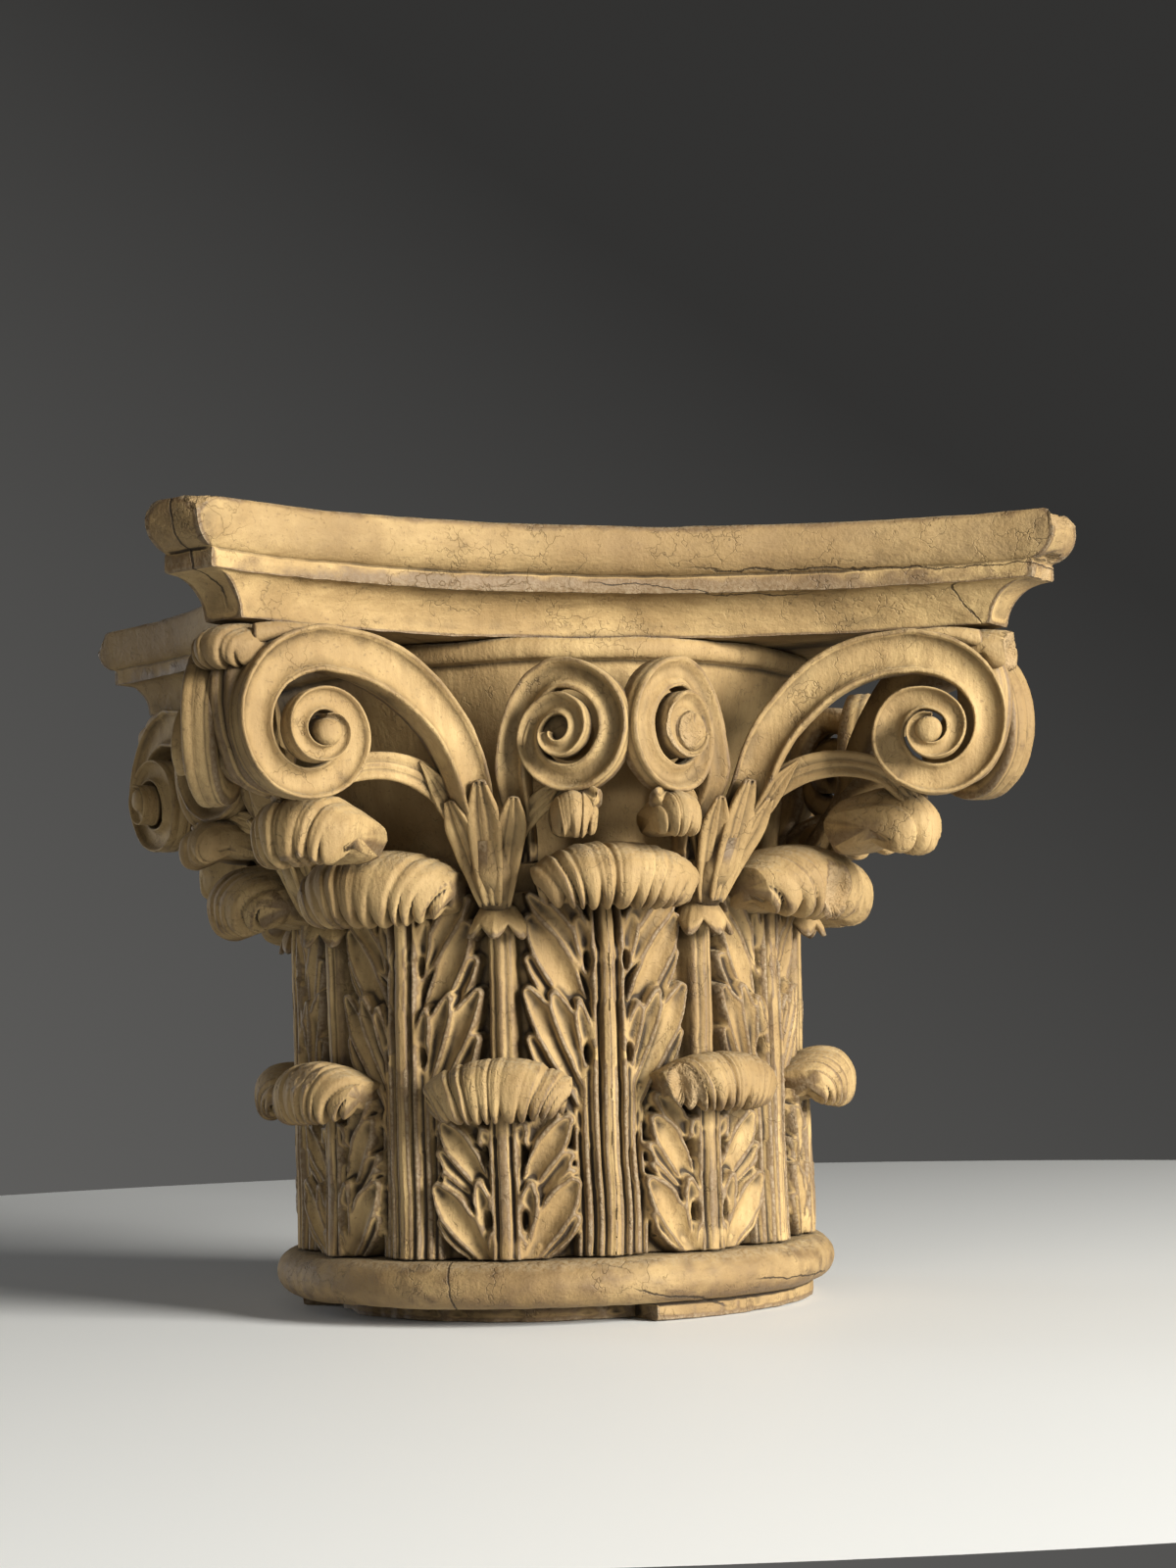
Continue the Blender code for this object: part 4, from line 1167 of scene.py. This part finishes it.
# Chips: a place on the lost face, the way that face looks, and how far it goes
ABACUS_BREAKS = (
    ((96.0, -93.5, 166.5), (0.75, -0.9, 0.75), 9.0),
    ((-92.0, -98.3, 168.6), (0.1, -0.8, 0.9), 12.0),
    ((-97.6, -92.0, 168.8), (-0.9, -0.2, 0.9), 7.0),
    ((91.0, -90.5, 158.0), (0.8, -0.7, -0.3), 5.0),
    ((86.5, -87.5, 149.0), (0.9, -0.6, -0.8), 4.0),
    ((40.0, -82.6, 169.2), (0.0, -0.8, 1.0), 6.0),
    ((-94.0, 93.0, 167.5), (-0.8, 0.7, 0.8), 7.0),
    ((97.0, 40.0, 169.3), (0.9, 0.1, 0.9), 7.0),
)
# Cracks: the middle, the way across the crack, how far it runs from its middle, and its width
ABACUS_CRACKS = (
    ((60.0, -82.0, 159.6), (0.03, 0.0, 1.0), 46.0, 0.20),
    ((-92.0, -94.0, 158.0), (0.75, -0.66, 0.12), 16.0, 0.36),
    ((-40.0, -78.0, 151.0), (0.5, 0.2, 0.9), 9.0, 0.22),
    ((75.0, -82.0, 151.5), (0.8, 0.2, 0.5), 7.0, 0.20),
    ((20.0, -72.0, 156.5), (0.05, 0.0, 1.0), 26.0, 0.16),
)


def board_rubbed(points):
    """How far the paint is gone: most on the cut horns, then on the top moulding."""
    across, along = np.abs(points[:, 0]), np.abs(points[:, 1])
    horn = ease((across + along - 179) / 7) * 0.85
    moulding = ease((points[:, 2] - 159.5) / 1.5) * (0.36 + 0.26 * noise(points, 26.0))
    right = 0.22 * ease((points[:, 0] - 20) / 60)
    return np.clip(np.maximum(horn, moulding + right * (moulding > 0)), 0, 0.85)


def build_abacus(look):
    low, high = ABACUS_LOW[2], ABACUS_HIGH[2]
    fillet_high, fillet_low = high - 10.5, high - 14.1
    levels = [(14.0, low), (12.6, low)]
    for t in np.linspace(0.05, 1, 16):
        levels.append((5.2 + 7.2 * cos(t * pi / 2), low + (fillet_low - low) * sin(t * pi / 2)))
    levels += [(4.4, fillet_low + 0.05), (4.2, fillet_low + 0.4)]
    levels += [(4.2, fillet_high - 0.4), (4.4, fillet_high)]
    for t in np.linspace(0.08, 1, 14):
        levels.append((4.8 * (1 - sin(t * pi / 2)), fillet_high + 0.3 + 6.2 * (1 - cos(t * pi / 2))))
    levels += [(0.0, high - 2.2), (0.15, high - 1.2), (0.6, high - 0.4), (1.4, high), (3.0, high)]
    sections = []
    for inset, height in levels:
        plan = abacus_plan(inset, ABACUS_STEPS)
        sections.append(np.column_stack([plan, np.full(len(plan), height)]))
    # The flat top, in rings that shrink towards the centre
    rim = sections[-1]
    for share in np.linspace(0.95, 0.03, 16):
        sections.append(rim * (share, share, 1.0))
    piece(
        "moulded_abacus", [tube(np.array(sections))], "abacus", look, (0.3, 0.12), 2.2,
        ABACUS_BREAKS, 32, board_rubbed,
    )


# Camera, light and floor

FLOOR_CENTRE = (40.0, 122.0, 0.0)
FLOOR_RADIUS = 443.0
CAMERA_PLACE = (-136.93, -622.65, 63.53)
CAMERA_YAW, CAMERA_PITCH, CAMERA_ROLL = 0.2333, 0.0895, -0.0296
CAMERA_FOCUS_PIXELS = 2742.12
IMAGE_HEIGHT_PIXELS = 1600
SENSOR = 36.0
FLOOR_COLOUR = (0.84, 0.875, 0.905, 1)
WALL_COLOUR = (1.0, 0.985, 0.95, 1)
LIGHT_TARGET = (0, 0, 0.09)
# Each soft light: its place and its size in metres, its power in watts, and its colour
LIGHTS = {
    "key": ((0.80, -1.09, 0.41), 0.55, 50.0, (1.0, 0.95, 0.86)),
    "fill": ((-0.45, -1.2, 0.30), 0.9, 3.4, (1.0, 0.97, 0.92)),
    "back_fill": ((-0.95, 0.95, 0.22), 0.5, 5.0, (1.0, 0.98, 0.95)),
}


def aim(place, target):
    return (Vector(target) - Vector(place)).to_track_quat("-Z", "Y")


def build_camera():
    data = bpy.data.cameras.new("camera")
    data.sensor_fit = "VERTICAL"
    data.sensor_height = SENSOR
    data.lens = CAMERA_FOCUS_PIXELS / IMAGE_HEIGHT_PIXELS * SENSOR
    data.clip_start = 0.01
    camera = bpy.data.objects.new("camera", data)
    bpy.context.scene.collection.objects.link(camera)
    level_share = cos(CAMERA_PITCH)
    forward = Vector((sin(CAMERA_YAW) * level_share, cos(CAMERA_YAW) * level_share, sin(CAMERA_PITCH)))
    level = forward.cross(Vector((0, 0, 1))).normalized()
    rise = level.cross(forward)
    right = level * cos(CAMERA_ROLL) + rise * sin(CAMERA_ROLL)
    up = rise * cos(CAMERA_ROLL) - level * sin(CAMERA_ROLL)
    matrix = Matrix((right, up, -forward)).transposed().to_4x4()
    matrix.translation = Vector(CAMERA_PLACE) * MM
    camera.matrix_world = matrix
    bpy.context.scene.camera = camera


def soft_light(name, place, size, watts, colour):
    data = bpy.data.lights.new(name, "AREA")
    data.size = size
    data.energy = watts
    data.color = colour
    light = bpy.data.objects.new(name, data)
    light.location = place
    light.rotation_mode = "QUATERNION"
    light.rotation_quaternion = aim(place, LIGHT_TARGET)
    bpy.context.scene.collection.objects.link(light)


def build_stage():
    """A round pale table top, the lights, and the backdrop."""
    mesh = bpy.data.meshes.new("floor")
    rim = [polar(turn, FLOOR_RADIUS, 0.0) + FLOOR_CENTRE for turn in range(0, 360, 2)]
    mesh.from_pydata([tuple(point * MM) for point in rim], [], [tuple(range(len(rim)))])
    floor = bpy.data.objects.new("floor", mesh)
    bpy.context.scene.collection.objects.link(floor)
    pale = bpy.data.materials.new("pale_floor")
    pale.use_nodes = True
    shader = pale.node_tree.nodes["Principled BSDF"]
    shader.inputs["Base Color"].default_value = FLOOR_COLOUR
    shader.inputs["Roughness"].default_value = 0.55
    mesh.materials.append(pale)
    for name, settings in LIGHTS.items():
        soft_light(name, *settings)
    build_backdrop()


def build_backdrop():
    """A grey wall far off: lighter low on the left, darker above."""
    world = bpy.data.worlds.new("world")
    bpy.context.scene.world = world
    world.use_nodes = True
    tree = world.node_tree
    place = tree.nodes.new("ShaderNodeTexCoord").outputs["Generated"]
    slope = tree.nodes.new("ShaderNodeVectorMath")
    slope.operation = "DOT_PRODUCT"
    tree.links.new(place, slope.inputs[0])
    slope.inputs[1].default_value = (-0.55, 0.12, -0.82)
    back = tree.nodes.new("ShaderNodeSeparateXYZ")
    tree.links.new(place, back.inputs[0])
    behind = mapped(tree, back.outputs["Y"], 0.2, 0.7, 0.08, 1.0)
    grey = maths(tree, "MULTIPLY", mapped(tree, slope.outputs["Value"], -0.25, 0.16, 0.032, 0.112), behind)
    shader = tree.nodes["Background"]
    shader.inputs["Color"].default_value = WALL_COLOUR
    tree.links.new(grey, shader.inputs["Strength"])


def main():
    bpy.context.scene.view_settings.view_transform = "Standard"
    build_stage()
    build_camera()
    carved = painted_wood("carved_painted_wood", 0.12, (1.0, 1.0, 0.18))
    ring = painted_wood("worn_painted_ring", 0.4, (0.5, 0.5, 1.4), RING_CRACKS, 0.45)
    board = painted_wood("moulded_painted_board", 0.1, (0.25, 1.0, 1.0), ABACUS_CRACKS)
    build_drum(carved)
    build_curls(carved)
    build_throat(carved)
    build_scrolls(carved)
    build_calyxes(carved)
    build_arms(carved)
    build_corners(carved)
    build_ring(ring)
    build_abacus(board)
    # Painted shade: how closed in each point is, for the materials to darken
    paint_occlusion_shade(PIECES)


main()
